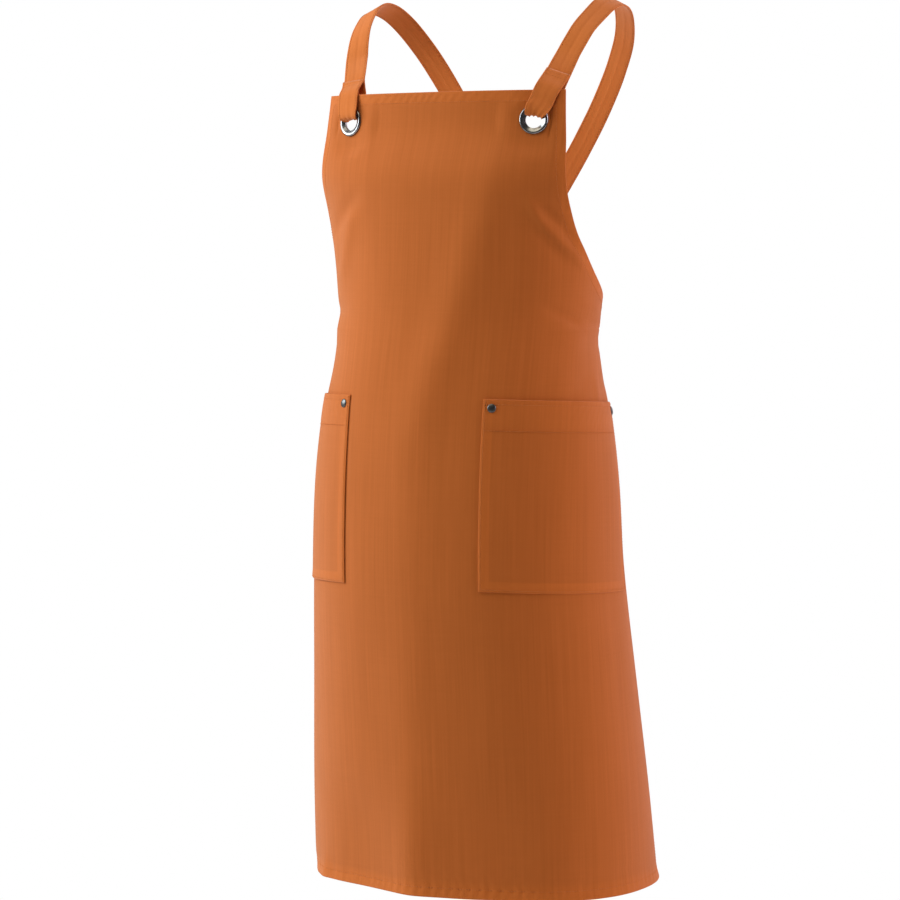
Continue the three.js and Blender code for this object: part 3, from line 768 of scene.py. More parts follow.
def sewn(name, runs, sizes):
    """All the stitches of some rows as one mesh of short round threads that dip in at their ends."""
    turn = np.linspace(0, 2 * math.pi, THREAD_SIDES, endpoint=False)
    stitches = []
    for run in runs:
        length = length_along(run.points)
        count = max(1, round(length[-1] / sizes.pitch))
        places = (np.arange(count) + 0.5) * length[-1] / count
        near = sizes.length / 4
        ahead = resampled(run.points, length, places + near)
        before = resampled(run.points, length, places - near)
        centre = (ahead + before) / 2
        tangent = unit(ahead - before)
        normal = resampled(run.normals, length, places)
        normal = unit(normal - tangent * (normal * tangent).sum(axis=-1, keepdims=True))
        aside = np.cross(tangent, normal)
        spoke = aside[:, None] * np.cos(turn)[:, None] + normal[:, None] * np.sin(turn)[:, None]
        rings = []
        for ring in THREAD_RINGS:
            middle = centre + tangent * ring.along * sizes.length / 2 + normal * ring.lift * sizes.thread
            rings.append(middle[:, None] + spoke * ring.girth * sizes.thread)
        stitches.append(np.stack(rings, axis=1))
    vertices = np.concatenate(stitches)
    rings = np.arange(len(THREAD_RINGS) * THREAD_SIDES).reshape(-1, THREAD_SIDES)
    sides = ring_faces(rings)
    faces = []
    for start in range(0, vertices.size // 3, rings.size):
        faces.extend((sides + start).tolist())
        faces.append((rings[0] + start).tolist())
        faces.append((rings[-1] + start).tolist())
    return object_from(name, vertices.reshape(-1, 3), faces)


# Finishes


def node_group(name, inputs, outputs):
    """An empty shader node group with named sockets, and its input and output nodes."""
    group = bpy.data.node_groups.new(name, "ShaderNodeTree")
    for socket_name, kind, default in inputs:
        socket = group.interface.new_socket(socket_name, in_out="INPUT", socket_type=kind)
        if default is not None:
            socket.default_value = default
    for socket_name, kind in outputs:
        group.interface.new_socket(socket_name, in_out="OUTPUT", socket_type=kind)
    return group, group.nodes.new("NodeGroupInput"), group.nodes.new("NodeGroupOutput")


def feed(tree, socket, value):
    """Links an output to an input, or sets the input to a value."""
    if isinstance(value, bpy.types.NodeSocket):
        tree.links.new(value, socket)
    else:
        socket.default_value = value


def math_node(tree, operation, *values, clamp=False):
    """A Math node whose inputs are sockets or numbers. Gives its output."""
    node = tree.nodes.new("ShaderNodeMath")
    node.operation = operation
    node.use_clamp = clamp
    for socket, value in zip(node.inputs, values):
        feed(tree, socket, value)
    return node.outputs[0]


def noise_node(tree, vector, scale, detail, roughness=0.5):
    """A Noise Texture's value."""
    node = tree.nodes.new("ShaderNodeTexNoise")
    node.inputs["Scale"].default_value = scale
    node.inputs["Detail"].default_value = detail
    node.inputs["Roughness"].default_value = roughness
    tree.links.new(vector, node.inputs["Vector"])
    return node.outputs["Fac"]


def stretched(tree, vector, scale):
    """A vector times a scale along each axis."""
    node = tree.nodes.new("ShaderNodeVectorMath")
    node.operation = "MULTIPLY"
    node.inputs[1].default_value = scale
    tree.links.new(vector, node.inputs[0])
    return node.outputs[0]


# A Mix node's colour sockets, which share their names with its sockets for other kinds of value
MIX_DARK = 6
MIX_LIGHT = 7
MIX_RESULT = 2


def mixed_colour(tree, factor, dark, light):
    """A mix of two colours by a factor."""
    node = tree.nodes.new("ShaderNodeMix")
    node.data_type = "RGBA"
    tree.links.new(factor, node.inputs["Factor"])
    for place, colour in ((MIX_DARK, dark), (MIX_LIGHT, light)):
        plain = not isinstance(colour, bpy.types.NodeSocket)
        feed(tree, node.inputs[place], (*colour, 1) if plain else colour)
    return node.outputs[MIX_RESULT]


def add_bump(tree, shader, height, strength, distance):
    """Gives a shader the relief of a height that changes over the surface."""
    bump = tree.nodes.new("ShaderNodeBump")
    bump.inputs["Strength"].default_value = strength
    bump.inputs["Distance"].default_value = distance
    tree.links.new(height, bump.inputs["Height"])
    tree.links.new(bump.outputs["Normal"], shader.inputs["Normal"])


# The twill's slanting ridges repeat every three yarns, and its yarns are rounder one way than the other.
TWILL_REPEAT = 3
RIDGE_SHARE = 0.5
YARN_SHARES = (0.3, 0.2)
TWILL_CONTRAST = 1.4


def twill_group():
    """Twill weave: the height of its yarns, and a painted shade that is darker on the sunken yarns, on the
    flat cloth.
    """
    group, start, end = node_group(
        "Twill weave",
        [("Cloth", "NodeSocketVector", None), ("Yarns per metre", "NodeSocketFloat", 1600.0)],
        [("Height", "NodeSocketFloat"), ("Shade", "NodeSocketFloat")],
    )
    split = group.nodes.new("ShaderNodeSeparateXYZ")
    group.links.new(start.outputs["Cloth"], split.inputs[0])
    yarns = start.outputs["Yarns per metre"]
    places = [math_node(group, "MULTIPLY", split.outputs[axis], yarns) for axis in "XY"]
    slant = math_node(group, "MULTIPLY", math_node(group, "ADD", *places), 2 * math.pi / TWILL_REPEAT)
    ridge = math_node(group, "MULTIPLY_ADD", math_node(group, "SINE", slant), 0.5, 0.5)
    height = math_node(group, "MULTIPLY", ridge, RIDGE_SHARE)
    for place, share in zip(places, YARN_SHARES):
        wave = math_node(group, "SINE", math_node(group, "MULTIPLY", place, math.pi))
        height = math_node(group, "MULTIPLY_ADD", math_node(group, "ABSOLUTE", wave), share, height)
    group.links.new(height, end.inputs["Height"])
    # The weave's shade is painted shade, darker where its yarns lie lower.
    group.links.new(math_node(group, "POWER", height, TWILL_CONTRAST, clamp=True), end.inputs["Shade"])
    return group


class Slub(NamedTuple):
    """One kind of unevenness in the yarns: how often it changes in a metre across and along the cloth,
    how fine it is and its share in the whole."""

    across: float
    along: float
    detail: float
    share: float


SLUBS = {
    "upright": Slub(620, 9, 2.0, 0.42),
    "broad": Slub(170, 4, 1.0, 0.26),
    "level": Slub(14, 560, 2.0, 0.14),
    "clouds": Slub(16, 11, 3.0, 0.18),
}


def slub_group():
    """Slubs: long thick and thin places in the upright yarns, fainter across, and soft clouds."""
    group, start, end = node_group(
        "Slubs",
        [("Cloth", "NodeSocketVector", None), ("Strength", "NodeSocketFloat", 1.0)],
        [("Height", "NodeSocketFloat"), ("Shade", "NodeSocketFloat")],
    )
    noise = {}
    total = 0.0
    for kind, slub in SLUBS.items():
        place = stretched(group, start.outputs["Cloth"], (slub.across, slub.along, 1))
        noise[kind] = noise_node(group, place, 1.0, slub.detail)
        total = math_node(group, "MULTIPLY_ADD", noise[kind], slub.share, total)
    swing = math_node(group, "SUBTRACT", total, 0.5)
    shade = math_node(group, "MULTIPLY_ADD", swing, start.outputs["Strength"], 0.5, clamp=True)
    group.links.new(shade, end.inputs["Shade"])
    group.links.new(math_node(group, "ADD", noise["upright"], noise["level"]), end.inputs["Height"])
    return group


# Tarnish starts at a level of its noise and deepens above it, and the scuffs are finer than the blotches.
TARNISH_START = 0.32
TARNISH_DEEPENING = 1.8
BLOTCH_DETAIL = 4.0
BLOTCH_ROUGHNESS = 0.6
SCUFFS_PER_BLOTCH = 7.0
SCUFF_DETAIL = 3.0
SCUFF_ROUGHNESS = 0.7


def tarnish_group():
    """Tarnish: dark blotches and fine scuffs on plated metal."""
    group, start, end = node_group(
        "Tarnish",
        [("Place", "NodeSocketVector", None), ("Blotches per metre", "NodeSocketFloat", 300.0)],
        [("Mask", "NodeSocketFloat"), ("Scuffs", "NodeSocketFloat")],
    )
    grown = group.nodes.new("ShaderNodeVectorMath")
    grown.operation = "SCALE"
    group.links.new(start.outputs["Place"], grown.inputs[0])
    group.links.new(start.outputs["Blotches per metre"], grown.inputs["Scale"])
    blotch = noise_node(group, grown.outputs[0], 1.0, BLOTCH_DETAIL, BLOTCH_ROUGHNESS)
    above = math_node(group, "SUBTRACT", blotch, TARNISH_START)
    mask = math_node(group, "MULTIPLY", above, TARNISH_DEEPENING, clamp=True)
    scuffs = noise_node(group, grown.outputs[0], SCUFFS_PER_BLOTCH, SCUFF_DETAIL, SCUFF_ROUGHNESS)
    group.links.new(mask, end.inputs["Mask"])
    group.links.new(scuffs, end.inputs["Scuffs"])
    return group


def shared_group(name):
    """A shader node group, built the first time that it is asked for."""
    makers = {"Twill weave": twill_group, "Slubs": slub_group, "Tarnish": tarnish_group}
    return bpy.data.node_groups.get(name) or makers[name]()


def new_material(name):
    """A material and its Principled shader, or no shader if the material was made before."""
    material = bpy.data.materials.get(name)
    if material:
        return material, None
    material = bpy.data.materials.new(name)
    material.use_nodes = True
    return material, material.node_tree.nodes["Principled BSDF"]


def placed_group(tree, name, vector, **values):
    """A shared group in a material, fed with a vector and its own values."""
    node = tree.nodes.new("ShaderNodeGroup")
    node.node_tree = shared_group(name)
    tree.links.new(vector, node.inputs[0])
    for socket in list(node.inputs)[1:]:
        key = socket.name.lower().replace(" ", "_")
        socket.default_value = values.get(key, socket.default_value)
    return node


# How much lighter doubled cloth looks, and the share of that in a pocket's band
DOUBLED_GAIN = 1.10
BAND_SHARE = 0.5

# How the twill's shade and relief are shared between its weave (painted shade on sunken yarns) and its slubs
WEAVE_SHADE = 0.35
SLUB_SHADE = 0.65
SLUB_RELIEF = 0.6
TWILL_ROUGHNESS = 0.95
SLUB_ROUGHNESS = -0.12
TWILL_BUMP = 0.5
TWILL_BUMP_HEIGHT = 0.00012
TWILL_SURFACE = {
    "Specular IOR Level": 0.18,
    "Sheen Weight": 0.25,
    "Sheen Roughness": 0.5,
    "Sheen Tint": (1.0, 0.82, 0.70, 1),
}
YARNS_PER_METRE = 1600.0
PANEL_SLUBS = 2.8
STRAP_SLUBS = 2.2


def twill_material(name, light, dark, slubs, has_hems):
    """Matt cotton twill, woven on the flat cloth's own coordinates, with painted shade on the weave's sunken
    yarns. Hems let less light through, so they look lighter than the single cloth."""
    material, shader = new_material(name)
    if shader is None:
        return material
    tree = material.node_tree
    place = tree.nodes.new("ShaderNodeUVMap")
    place.uv_map = "cloth"
    weave = placed_group(tree, "Twill weave", place.outputs["UV"], yarns_per_metre=YARNS_PER_METRE)
    slub = placed_group(tree, "Slubs", place.outputs["UV"], strength=slubs)
    # Painted shade on the weave's sunken yarns, mixed below with the slubs' own uneven tone
    weave_painted_shade = math_node(tree, "MULTIPLY", weave.outputs["Shade"], WEAVE_SHADE)
    shade = math_node(tree, "MULTIPLY_ADD", slub.outputs["Shade"], SLUB_SHADE, weave_painted_shade, clamp=True)
    colour = mixed_colour(tree, shade, dark, light)
    if has_hems:
        layers = tree.nodes.new("ShaderNodeUVMap")
        layers.uv_map = "layers"
        split = tree.nodes.new("ShaderNodeSeparateXYZ")
        tree.links.new(layers.outputs["UV"], split.inputs[0])
        doubled = mixed_colour(tree, shade, DOUBLED_GAIN * np.array(dark), DOUBLED_GAIN * np.array(light))
        colour = mixed_colour(tree, split.outputs["X"], colour, doubled)
    tree.links.new(colour, shader.inputs["Base Color"])
    rough = math_node(tree, "MULTIPLY_ADD", slub.outputs["Shade"], SLUB_ROUGHNESS, TWILL_ROUGHNESS)
    tree.links.new(rough, shader.inputs["Roughness"])
    relief = math_node(tree, "MULTIPLY_ADD", slub.outputs["Height"], SLUB_RELIEF, weave.outputs["Height"])
    add_bump(tree, shader, relief, TWILL_BUMP, TWILL_BUMP_HEIGHT)
    for socket_name, value in TWILL_SURFACE.items():
        shader.inputs[socket_name].default_value = value
    return material


def panel_cloth():
    """The panel's and pockets' twill."""
    colour = settings().colour
    return twill_material("rust_twill", colour.cloth_light, colour.cloth_dark, PANEL_SLUBS, True)


def strap_cloth():
    """The straps' twill, lighter than the panel's, partly as painted light from above."""
    colour = settings().colour
    return twill_material("strap_twill", colour.strap_light, colour.strap_dark, STRAP_SLUBS, False)


THREAD_TWISTS = 900.0
THREAD_DETAIL = 2.0
THREAD_DARK_SHARE = 0.8
THREAD_ROUGHNESS = 0.6
THREAD_ROUGHNESS_SWING = 0.2
THREAD_SPECULAR = 0.3


def sewing_thread():
    """Twisted sewing thread, a little lighter than the cloth."""
    material, shader = new_material("sewing_thread")
    if shader is None:
        return material
    tree = material.node_tree
    place = tree.nodes.new("ShaderNodeTexCoord")
    grain = noise_node(tree, place.outputs["Object"], THREAD_TWISTS, THREAD_DETAIL)
    light = np.array(settings().colour.thread)
    colour = mixed_colour(tree, grain, THREAD_DARK_SHARE * light, light)
    tree.links.new(colour, shader.inputs["Base Color"])
    rough = math_node(tree, "MULTIPLY_ADD", grain, THREAD_ROUGHNESS_SWING, THREAD_ROUGHNESS)
    tree.links.new(rough, shader.inputs["Roughness"])
    shader.inputs["Specular IOR Level"].default_value = THREAD_SPECULAR
    return material


# Tarnish is rougher than clean metal, and the scuffs are shallow.
TARNISH_ROUGHNESS = 0.18
SCUFF_BUMP = 0.12
SCUFF_BUMP_HEIGHT = 0.00005
NICKEL_ROUGHNESS = 0.20
NICKEL_BLOTCHES = 200.0
GUNMETAL_ROUGHNESS = 0.32
GUNMETAL_BLOTCHES = 420.0


def plated_material(name, light, dark, roughness, blotches):
    """Plated metal with tarnish in blotches and fine scuffs."""
    material, shader = new_material(name)
    if shader is None:
        return material
    tree = material.node_tree
    place = tree.nodes.new("ShaderNodeTexCoord")
    tarnish = placed_group(tree, "Tarnish", place.outputs["Object"], blotches_per_metre=blotches)
    mask = tarnish.outputs["Mask"]
    clean = math_node(tree, "SUBTRACT", 1.0, mask)
    tree.links.new(mixed_colour(tree, clean, dark, light), shader.inputs["Base Color"])
    rough = math_node(tree, "MULTIPLY_ADD", mask, TARNISH_ROUGHNESS, roughness)
    tree.links.new(rough, shader.inputs["Roughness"])
    add_bump(tree, shader, tarnish.outputs["Scuffs"], SCUFF_BUMP, SCUFF_BUMP_HEIGHT)
    shader.inputs["Metallic"].default_value = 1.0
    return material


def antique_nickel():
    """The eyelets' plating."""
    colour = settings().colour
    light, dark = colour.nickel_light, colour.nickel_dark
    return plated_material("antique_nickel", light, dark, NICKEL_ROUGHNESS, NICKEL_BLOTCHES)


def gunmetal():
    """The rivets' plating."""
    colour = settings().colour
    light, dark = colour.gunmetal_light, colour.gunmetal_dark
    return plated_material("gunmetal", light, dark, GUNMETAL_ROUGHNESS, GUNMETAL_BLOTCHES)


def bright_to_camera(tree, lit, bright, output):
    """Shows the camera a bright shader in the place of the one that meets all other light."""
    path = tree.nodes.new("ShaderNodeLightPath")
    mix = tree.nodes.new("ShaderNodeMixShader")
    tree.links.new(path.outputs["Is Camera Ray"], mix.inputs["Fac"])
    tree.links.new(lit.outputs[0], mix.inputs[1])
    tree.links.new(bright.outputs[0], mix.inputs[2])
    tree.links.new(mix.outputs["Shader"], tree.nodes[output].inputs["Surface"])


FLOOR_ROUGHNESS = 0.9


def pale_floor():
    """A floor that lights the room like pale paper and looks as bright as the room behind it."""
    material, shader = new_material("pale_floor")
    if shader is None:
        return material
    tree = material.node_tree
    shader.inputs["Base Color"].default_value = (*settings().colour.floor, 1)
    shader.inputs["Roughness"].default_value = FLOOR_ROUGHNESS
    bright_to_camera(tree, shader, tree.nodes.new("ShaderNodeEmission"), "Material Output")
    return material


# Pieces

# Distances from an edge at which the cloth's grids have points, close together where it is rounded
EDGE_STEPS = np.array([
    0.00004, 0.0003, 0.0007, 0.0012, 0.0021, 0.0033, 0.0046, 0.0060, 0.0074, 0.0088, 0.0098, 0.0108,
])
PANEL_COLUMNS = 282
BIB_ROW_STEP = 0.0045
SKIRT_ROW_STEP = 0.0085
AREA_STEPS = 400
HEM_SOFT = 0.0012


def panel_drops(sizes):
    """The panel's rows, close together at the hems and over the bib."""
    hem = sizes.hem_width
    bib = np.arange(hem, WAIST_DROP, BIB_ROW_STEP)
    skirt = np.arange(WAIST_DROP, sizes.length - hem, SKIRT_ROW_STEP)
    return np.concatenate([EDGE_STEPS, bib, skirt, (sizes.length - EDGE_STEPS)[::-1]])


def edge_distances(s, drop, sizes):
    """Distances on the flat cloth from the top, the bottom and the nearer side edge."""
    side = (half_width_at(drop) - np.abs(s)) / hem_slant_at(drop)
    return drop, sizes.length - drop, side


class Pucker(NamedTuple):
    """Puckers along an edge: their slant, how far in they reach and their share of the height."""

    slant: float
    reach: float
    share: float


TOP_PUCKER = Pucker(0.9, 0.012, 0.45)
BOTTOM_PUCKER = Pucker(-0.18, 0.017, 1.6)
SIDE_PUCKER = Pucker(0.9, 0.012, 0.35)

# Puckers stray from an even pitch, slowly and quickly, and are stronger in some places than in others.
SLOW_STRAY = 2.1
SLOW_STRAY_LENGTH = 0.037
QUICK_STRAY = 1.3
QUICK_STRAY_LENGTH = 0.0175
PUCKER_STRENGTH = 0.62
PUCKER_SWING = 0.38
PUCKER_SWING_LENGTH = 0.059


def hem_puckers(s, drop, sizes):
    """Slanting puckers between the folded edge and the hem's stitches, and the stitches' dent."""
    top, bottom, side = edge_distances(s, drop, sizes)
    height = np.zeros(np.broadcast(s, drop).shape)
    turn = 2 * math.pi / sizes.pucker_pitch
    rows = ((top, s, TOP_PUCKER), (bottom, s, BOTTOM_PUCKER), (side, drop, SIDE_PUCKER))
    for distance, run, pucker in rows:
        share = pucker.share
        stray = SLOW_STRAY * np.sin(run / SLOW_STRAY_LENGTH + share)
        stray = stray + QUICK_STRAY * np.sin(run / QUICK_STRAY_LENGTH + 2 * share)
        strength = PUCKER_STRENGTH + PUCKER_SWING * np.sin(run / PUCKER_SWING_LENGTH + 4 * share)
        wave = np.sin(turn * (run + pucker.slant * distance) + stray)
        window = np.sin(math.pi * np.clip(distance / pucker.reach, 0, 1))
        height = height + sizes.pucker_height * share * strength * window * wave
    nearest = np.minimum(np.minimum(top, bottom), side)
    return height + dent_at(nearest - sizes.hem_stitch, HEM_DENT), nearest


def eyelet_cut(points):
    """Which cells of a grid lie in the eyelets' holes, and the grid with the holes' rims made round."""
    points = points.copy()
    middle = (points[1:, 1:] + points[:-1, :-1] + points[1:, :-1] + points[:-1, 1:]) / 4
    keep = np.ones(middle.shape[:2], dtype=bool)
    for centre, axis in EYELET_SEATS.values():
        arm = middle - centre
        flat = np.linalg.norm(arm - axis * (arm @ axis)[..., None], axis=-1)
        inside = (flat < EYELET_HOLE) & (np.abs(arm @ axis) < EYELET_FLAT_RADIUS)
        keep &= ~inside
        touched = np.zeros(points.shape[:2], dtype=bool)
        for i, j in ((0, 0), (0, 1), (1, 0), (1, 1)):
            touched[i:i + inside.shape[0], j:j + inside.shape[1]] |= inside
        spoke = points[touched] - centre
        depth = (spoke @ axis)[:, None] * axis
        points[touched] = centre + depth + unit(spoke - depth) * EYELET_HOLE
    return keep, points


class APRON_OT_body_panel(bpy.types.Operator):
    """Builds the cloth panel with its hems, puckers, folds and eyelet holes"""

    bl_idname = "apron.body_panel"
    bl_label = "Body panel"

    def execute(self, context):
        sizes = settings().panel
        drop = panel_drops(sizes)[:, None]
        half = half_width_at(drop)
        edge = EDGE_STEPS * hem_slant_at(drop)
        flat = half - sizes.hem_width * hem_slant_at(drop)
        middle = flat * np.linspace(-1, 1, PANEL_COLUMNS)
        s = np.concatenate([-half + edge, middle, (half - edge)[:, ::-1]], axis=1)
        drop = np.broadcast_to(drop, s.shape)
        puckers, nearest = hem_puckers(s, drop, sizes)
        folded = 1 - smooth_step(nearest, sizes.hem_width - HEM_SOFT, sizes.hem_width)
        thick = sizes.cloth + (sizes.hem_thick - sizes.cloth) * folded
        inset = rounded_edge(nearest, sizes.hem_thick)
        front = cloth_point(s, drop, puckers - inset)
        back = cloth_point(s, drop, puckers - thick + inset)
        keep, front = eyelet_cut(front)
        _, back = eyelet_cut(back)
        maps = {"cloth": np.stack([s, drop], axis=-1), "layers": np.stack([folded, folded], axis=-1)}
        piece = wall_between("apron_panel", front, back, maps, keep)
        finished(piece, panel_cloth(), "panel_cloth", "body_panel")
        cut_drops = np.linspace(0, sizes.length, AREA_STEPS)
        cut_area = 2 * half_width_at(cut_drops).mean() * sizes.length
        return {"FINISHED"}


POCKET_DROOP_POWER = 1.35
POCKET_GRID = 0.0017
POCKET_SOFT = 0.0085
BAND_STITCH_INSET = 0.001

# Faint slanting waves in a pocket's turned edges, weaker in its band
POCKET_WAVE = 0.00006
POCKET_WAVE_PITCH = 0.011
POCKET_WAVE_SLANT = 0.7
POCKET_WAVE_STRAY = 1.5
POCKET_WAVE_STRAY_LENGTH = 0.02
BAND_WAVE_SHARE = 0.6

# The pockets are cut from another part of the cloth, so their weave starts elsewhere.
POCKET_WEAVE_SHIFT = 0.37


def pocket_droop(reach, sizes):
    """How much lower a pocket hangs away from its inner edge."""
    across = np.clip((reach - sizes.inner) / (sizes.outer - sizes.inner), 0, 1)
    return sizes.droop * across**POCKET_DROOP_POWER


def pocket_rise(reach, drop, sizes):
    """How far a pocket's inner face stands off the panel: least at the seams, most at the mouth."""
    across = 2 * (reach - sizes.inner) / (sizes.outer - sizes.inner) - 1
    depth = (drop - sizes.top) / sizes.gape_depth
    return sizes.gap + sizes.gape * (1 - across**2) ** 2 * np.exp(-(depth**2))


def pocket_face(side, reach, drop, sizes, height):
    """A point of a pocket at a height above its inner face. drop is measured at the inner edge."""
    rise = pocket_rise(reach, drop, sizes) + height
    return cloth_point(side * reach, drop + pocket_droop(reach, sizes), rise)


def rivet_places(sizes, inset):
    """Where a pocket's two rivets go, on its own cloth."""
    reach = np.array([sizes.inner + inset, sizes.outer - inset])
    return reach, np.full(2, sizes.top + inset)


def pocket_places(size):
    """Places across or down a pocket, close together at its edges."""
    first = EDGE_STEPS[-1] + POCKET_GRID
    inside = np.arange(first, size - EDGE_STEPS[-1] - POCKET_GRID / 2, POCKET_GRID)
    return np.concatenate([EDGE_STEPS, inside, (size - EDGE_STEPS)[::-1]])


class APRON_OT_pockets(bpy.types.Operator):
    """Builds the two patch pockets with their turned edges, bands and stitch dents"""

    bl_idname = "apron.pockets"
    bl_label = "Pockets"

    def execute(self, context):
        sizes = settings().pocket
        inset = settings().metal.rivet_inset
        wide = sizes.outer - sizes.inner
        deep = sizes.bottom - sizes.top
        across, down = np.meshgrid(pocket_places(wide), pocket_places(deep))
        reach = sizes.inner + across
        drop = sizes.top + down
        side_edge = np.minimum(across, wide - across)
        seam = np.minimum(side_edge, deep - down)
        turned_in = 1 - smooth_step(seam, sizes.edge - POCKET_SOFT, sizes.edge)
        band = 1 - smooth_step(down, sizes.band - POCKET_SOFT, sizes.band)
        folded = np.maximum(turned_in, band)
        doubled = np.maximum(seam < sizes.edge, BAND_SHARE * (down < sizes.band))
        layers = np.stack([doubled, doubled], axis=-1)
        thick = sizes.cloth + (sizes.edge_thick - sizes.cloth) * folded
        height = sizes.edge_thick - sizes.impression * (1 - folded)
        height = height - sizes.pressed * (1 - smooth_step(seam, 0, sizes.edge_stitch))
        height = height + dent_at(seam - sizes.edge_stitch, POCKET_EDGE_DENT)
        height = height + dent_at(down - sizes.mouth_stitch, POCKET_MOUTH_DENT)
        height = height + dent_at(down - (sizes.band - BAND_STITCH_INSET), POCKET_BAND_DENT)
        stray = POCKET_WAVE_STRAY * np.sin(across / POCKET_WAVE_STRAY_LENGTH)
        wave = np.sin(2 * math.pi * (across + POCKET_WAVE_SLANT * down) / POCKET_WAVE_PITCH + stray)
        height = height + POCKET_WAVE * wave * np.maximum(turned_in, BAND_WAVE_SHARE * band)
        for rivet_reach, rivet_drop in zip(*rivet_places(sizes, inset)):
            away = np.hypot(reach - rivet_reach, drop - rivet_drop)
            height = height + dent_at(away, POCKET_RIVET_DENT)
        inset_edge = rounded_edge(np.minimum(seam, down), height)
        for side_name, side in SIDES.items():
            front = pocket_face(side, reach, drop, sizes, height - inset_edge)
            back = pocket_face(side, reach, drop, sizes, np.maximum(height - thick, 0) + inset_edge)
            cloth = np.stack([side * reach, drop + POCKET_WEAVE_SHIFT], axis=-1)
            maps = {"cloth": cloth, "layers": layers}
            piece = wall_between(f"apron_pocket_{side_name}", front, back, maps)
            finished(piece, panel_cloth(), "panel_cloth", f"pocket_{side_name}")
        return {"FINISHED"}


def strap_rows(side_name, width):
    """The rows that a strap is led through: middle, direction of the width or face, width and bend."""
    side = SIDES[side_name]
    centre, axis = EYELET_SEATS[side_name]
    leftwards = unit(np.cross(UPWARDS, axis))
    upwards = np.cross(axis, leftwards)
    rows = []
    for row in LOOPS[side_name]:
        lean = math.radians(row.lean)
        turn = math.radians(row.turn)
        along = upwards * math.cos(lean) + leftwards * side * math.sin(lean)
        across = np.cross(along, axis) * math.cos(turn) - axis * math.sin(turn)
        rows.append((centre + along * row.along + axis * row.out, across, None, row.width, row.bend))
    for row in SHOULDER_RUN:
        lift = side * CROSSING_LIFT * math.exp(-((row.x / CROSSING_REACH) ** 2))
        middle = np.array([side * row.x, row.y + lift, row.z])
        before = 1 - smooth_step(row.z, *SHOULDER_TURN_FADE) if row.y < 0 else 0.0
        turn = math.radians(SHOULDER_TURN[side_name]) * before
        face_x = side * row.face_x * math.cos(turn) - row.face_y * math.sin(turn)
        face_y = side * row.face_x * math.sin(turn) + row.face_y * math.cos(turn)
        rows.append((middle, None, np.array([face_x, face_y, row.face_z]), width, 0))
    for row in WAIST_RUN:
        s = np.array(-side * row.s)
        drop = np.array(row.drop)
        face = outward(worn_point, s, drop)
        rows.append((worn_point(s, drop) - face * STRAP_SEAT, None, face, width, WAIST_BEND))
    return rows


def smooth_line(points):
    """A centripetal curve through points. Gives a function of the position, counted in points."""
    points = np.array(points)
    ends = np.concatenate([[2 * points[0] - points[1]], points, [2 * points[-1] - points[-2]]])
    knot = np.linalg.norm(np.diff(ends, axis=0), axis=-1) ** 0.5
    before, here, after = knot[:-2, None], knot[1:-1, None], knot[2:, None]
    p0, p1, p2, p3 = ends[:-3], ends[1:-2], ends[2:-1], ends[3:]
    start = here * ((p1 - p0) / before - (p2 - p0) / (before + here) + (p2 - p1) / here)
    end = here * ((p2 - p1) / here - (p3 - p1) / (here + after) + (p3 - p2) / after)
    square = -3 * p1 + 3 * p2 - 2 * start - end
    cube = 2 * p1 - 2 * p2 + start + end

    def at(position):
        i = np.clip(np.floor(position).astype(int), 0, len(points) - 2)
        u = (position - i)[:, None]
        place = p1[i] + start[i] * u + square[i] * u**2 + cube[i] * u**3
        tangent = start[i] + 2 * square[i] * u + 3 * cube[i] * u**2
        return place, unit(tangent)

    return at


STRAP_STATION = 0.0022
STEPS_PER_ROW = 40
STRAP_EDGE_COLUMNS = 4
STRAP_INNER_COLUMNS = 19
STRAP_END_ROUND = 0.0002
LEAST_BEND = 1e-6


class Stations(NamedTuple):
    """Places along a strap: the length so far, the middle, the axes, the width, the bend and the skew."""

    length: np.ndarray
    middle: np.ndarray
    tangent: np.ndarray
    across: np.ndarray
    face: np.ndarray
    width: np.ndarray
    bend: np.ndarray
    skew: np.ndarray


def strap_stations(side_name, width):
    """Evenly spaced stations along a strap."""
    rows = strap_rows(side_name, width)
    line = smooth_line([row[0] for row in rows])
    last = len(rows) - 1
    weave_painted_shade = np.linspace(0, last, STEPS_PER_ROW * last + 1)
    place, _ = line(weave_painted_shade)
    run = length_along(place)
    count = round(run[-1] / STRAP_STATION)
    length = np.linspace(0, run[-1], count + 1)
    position = np.interp(length, run, weave_painted_shade)
    middle, tangent = line(position)
    place_in = np.arange(last + 1.0)
    _, row_tangent = line(place_in)
    row_across = np.array([
        row[1] if row[1] is not None else unit(np.cross(way, row[2]))
        for row, way in zip(rows, row_tangent)
    ])
    across = resampled(row_across, place_in, position)
    across = unit(across - tangent * (across * tangent).sum(axis=-1, keepdims=True))
    return Stations(
        length, middle, tangent, across, np.cross(across, tangent),
        np.interp(position, place_in, [row[3] for row in rows]),
        np.interp(position, place_in, [row[4] for row in rows]),
        END_SKEW[side_name] * (1 - smooth_step(length, 0, END_SKEW_REACH)),
    )


def strap_point(stations, fraction, height):
    """Points of a strap at fractions of its width and heights above its middle surface."""
    bend = np.maximum(stations.bend, LEAST_BEND)[:, None]
    turn = fraction * stations.width[:, None] * bend
    aside = np.sin(turn) / bend
    fall = (1 - np.cos(turn)) / bend
    across = stations.across[:, None, :]
    face = stations.face[:, None, :]
    normal = face * np.cos(turn)[..., None] + across * np.sin(turn)[..., None]
    point = stations.middle[:, None, :] + across * aside[..., None] - face * fall[..., None]
    point = point + stations.tangent[:, None, :] * (stations.skew[:, None] * aside)[..., None]
    return point + normal * np.asarray(height)[..., None], normal


# Gathers: pleats across the strap, their shift to one side, and the squeeze at which they are full
PLEATS = 3.5
PLEAT_SHIFT = 0.2
PLEAT_SHARPNESS = 4
FULL_SQUEEZE = 0.3
SQUEEZE_POWER = 0.8

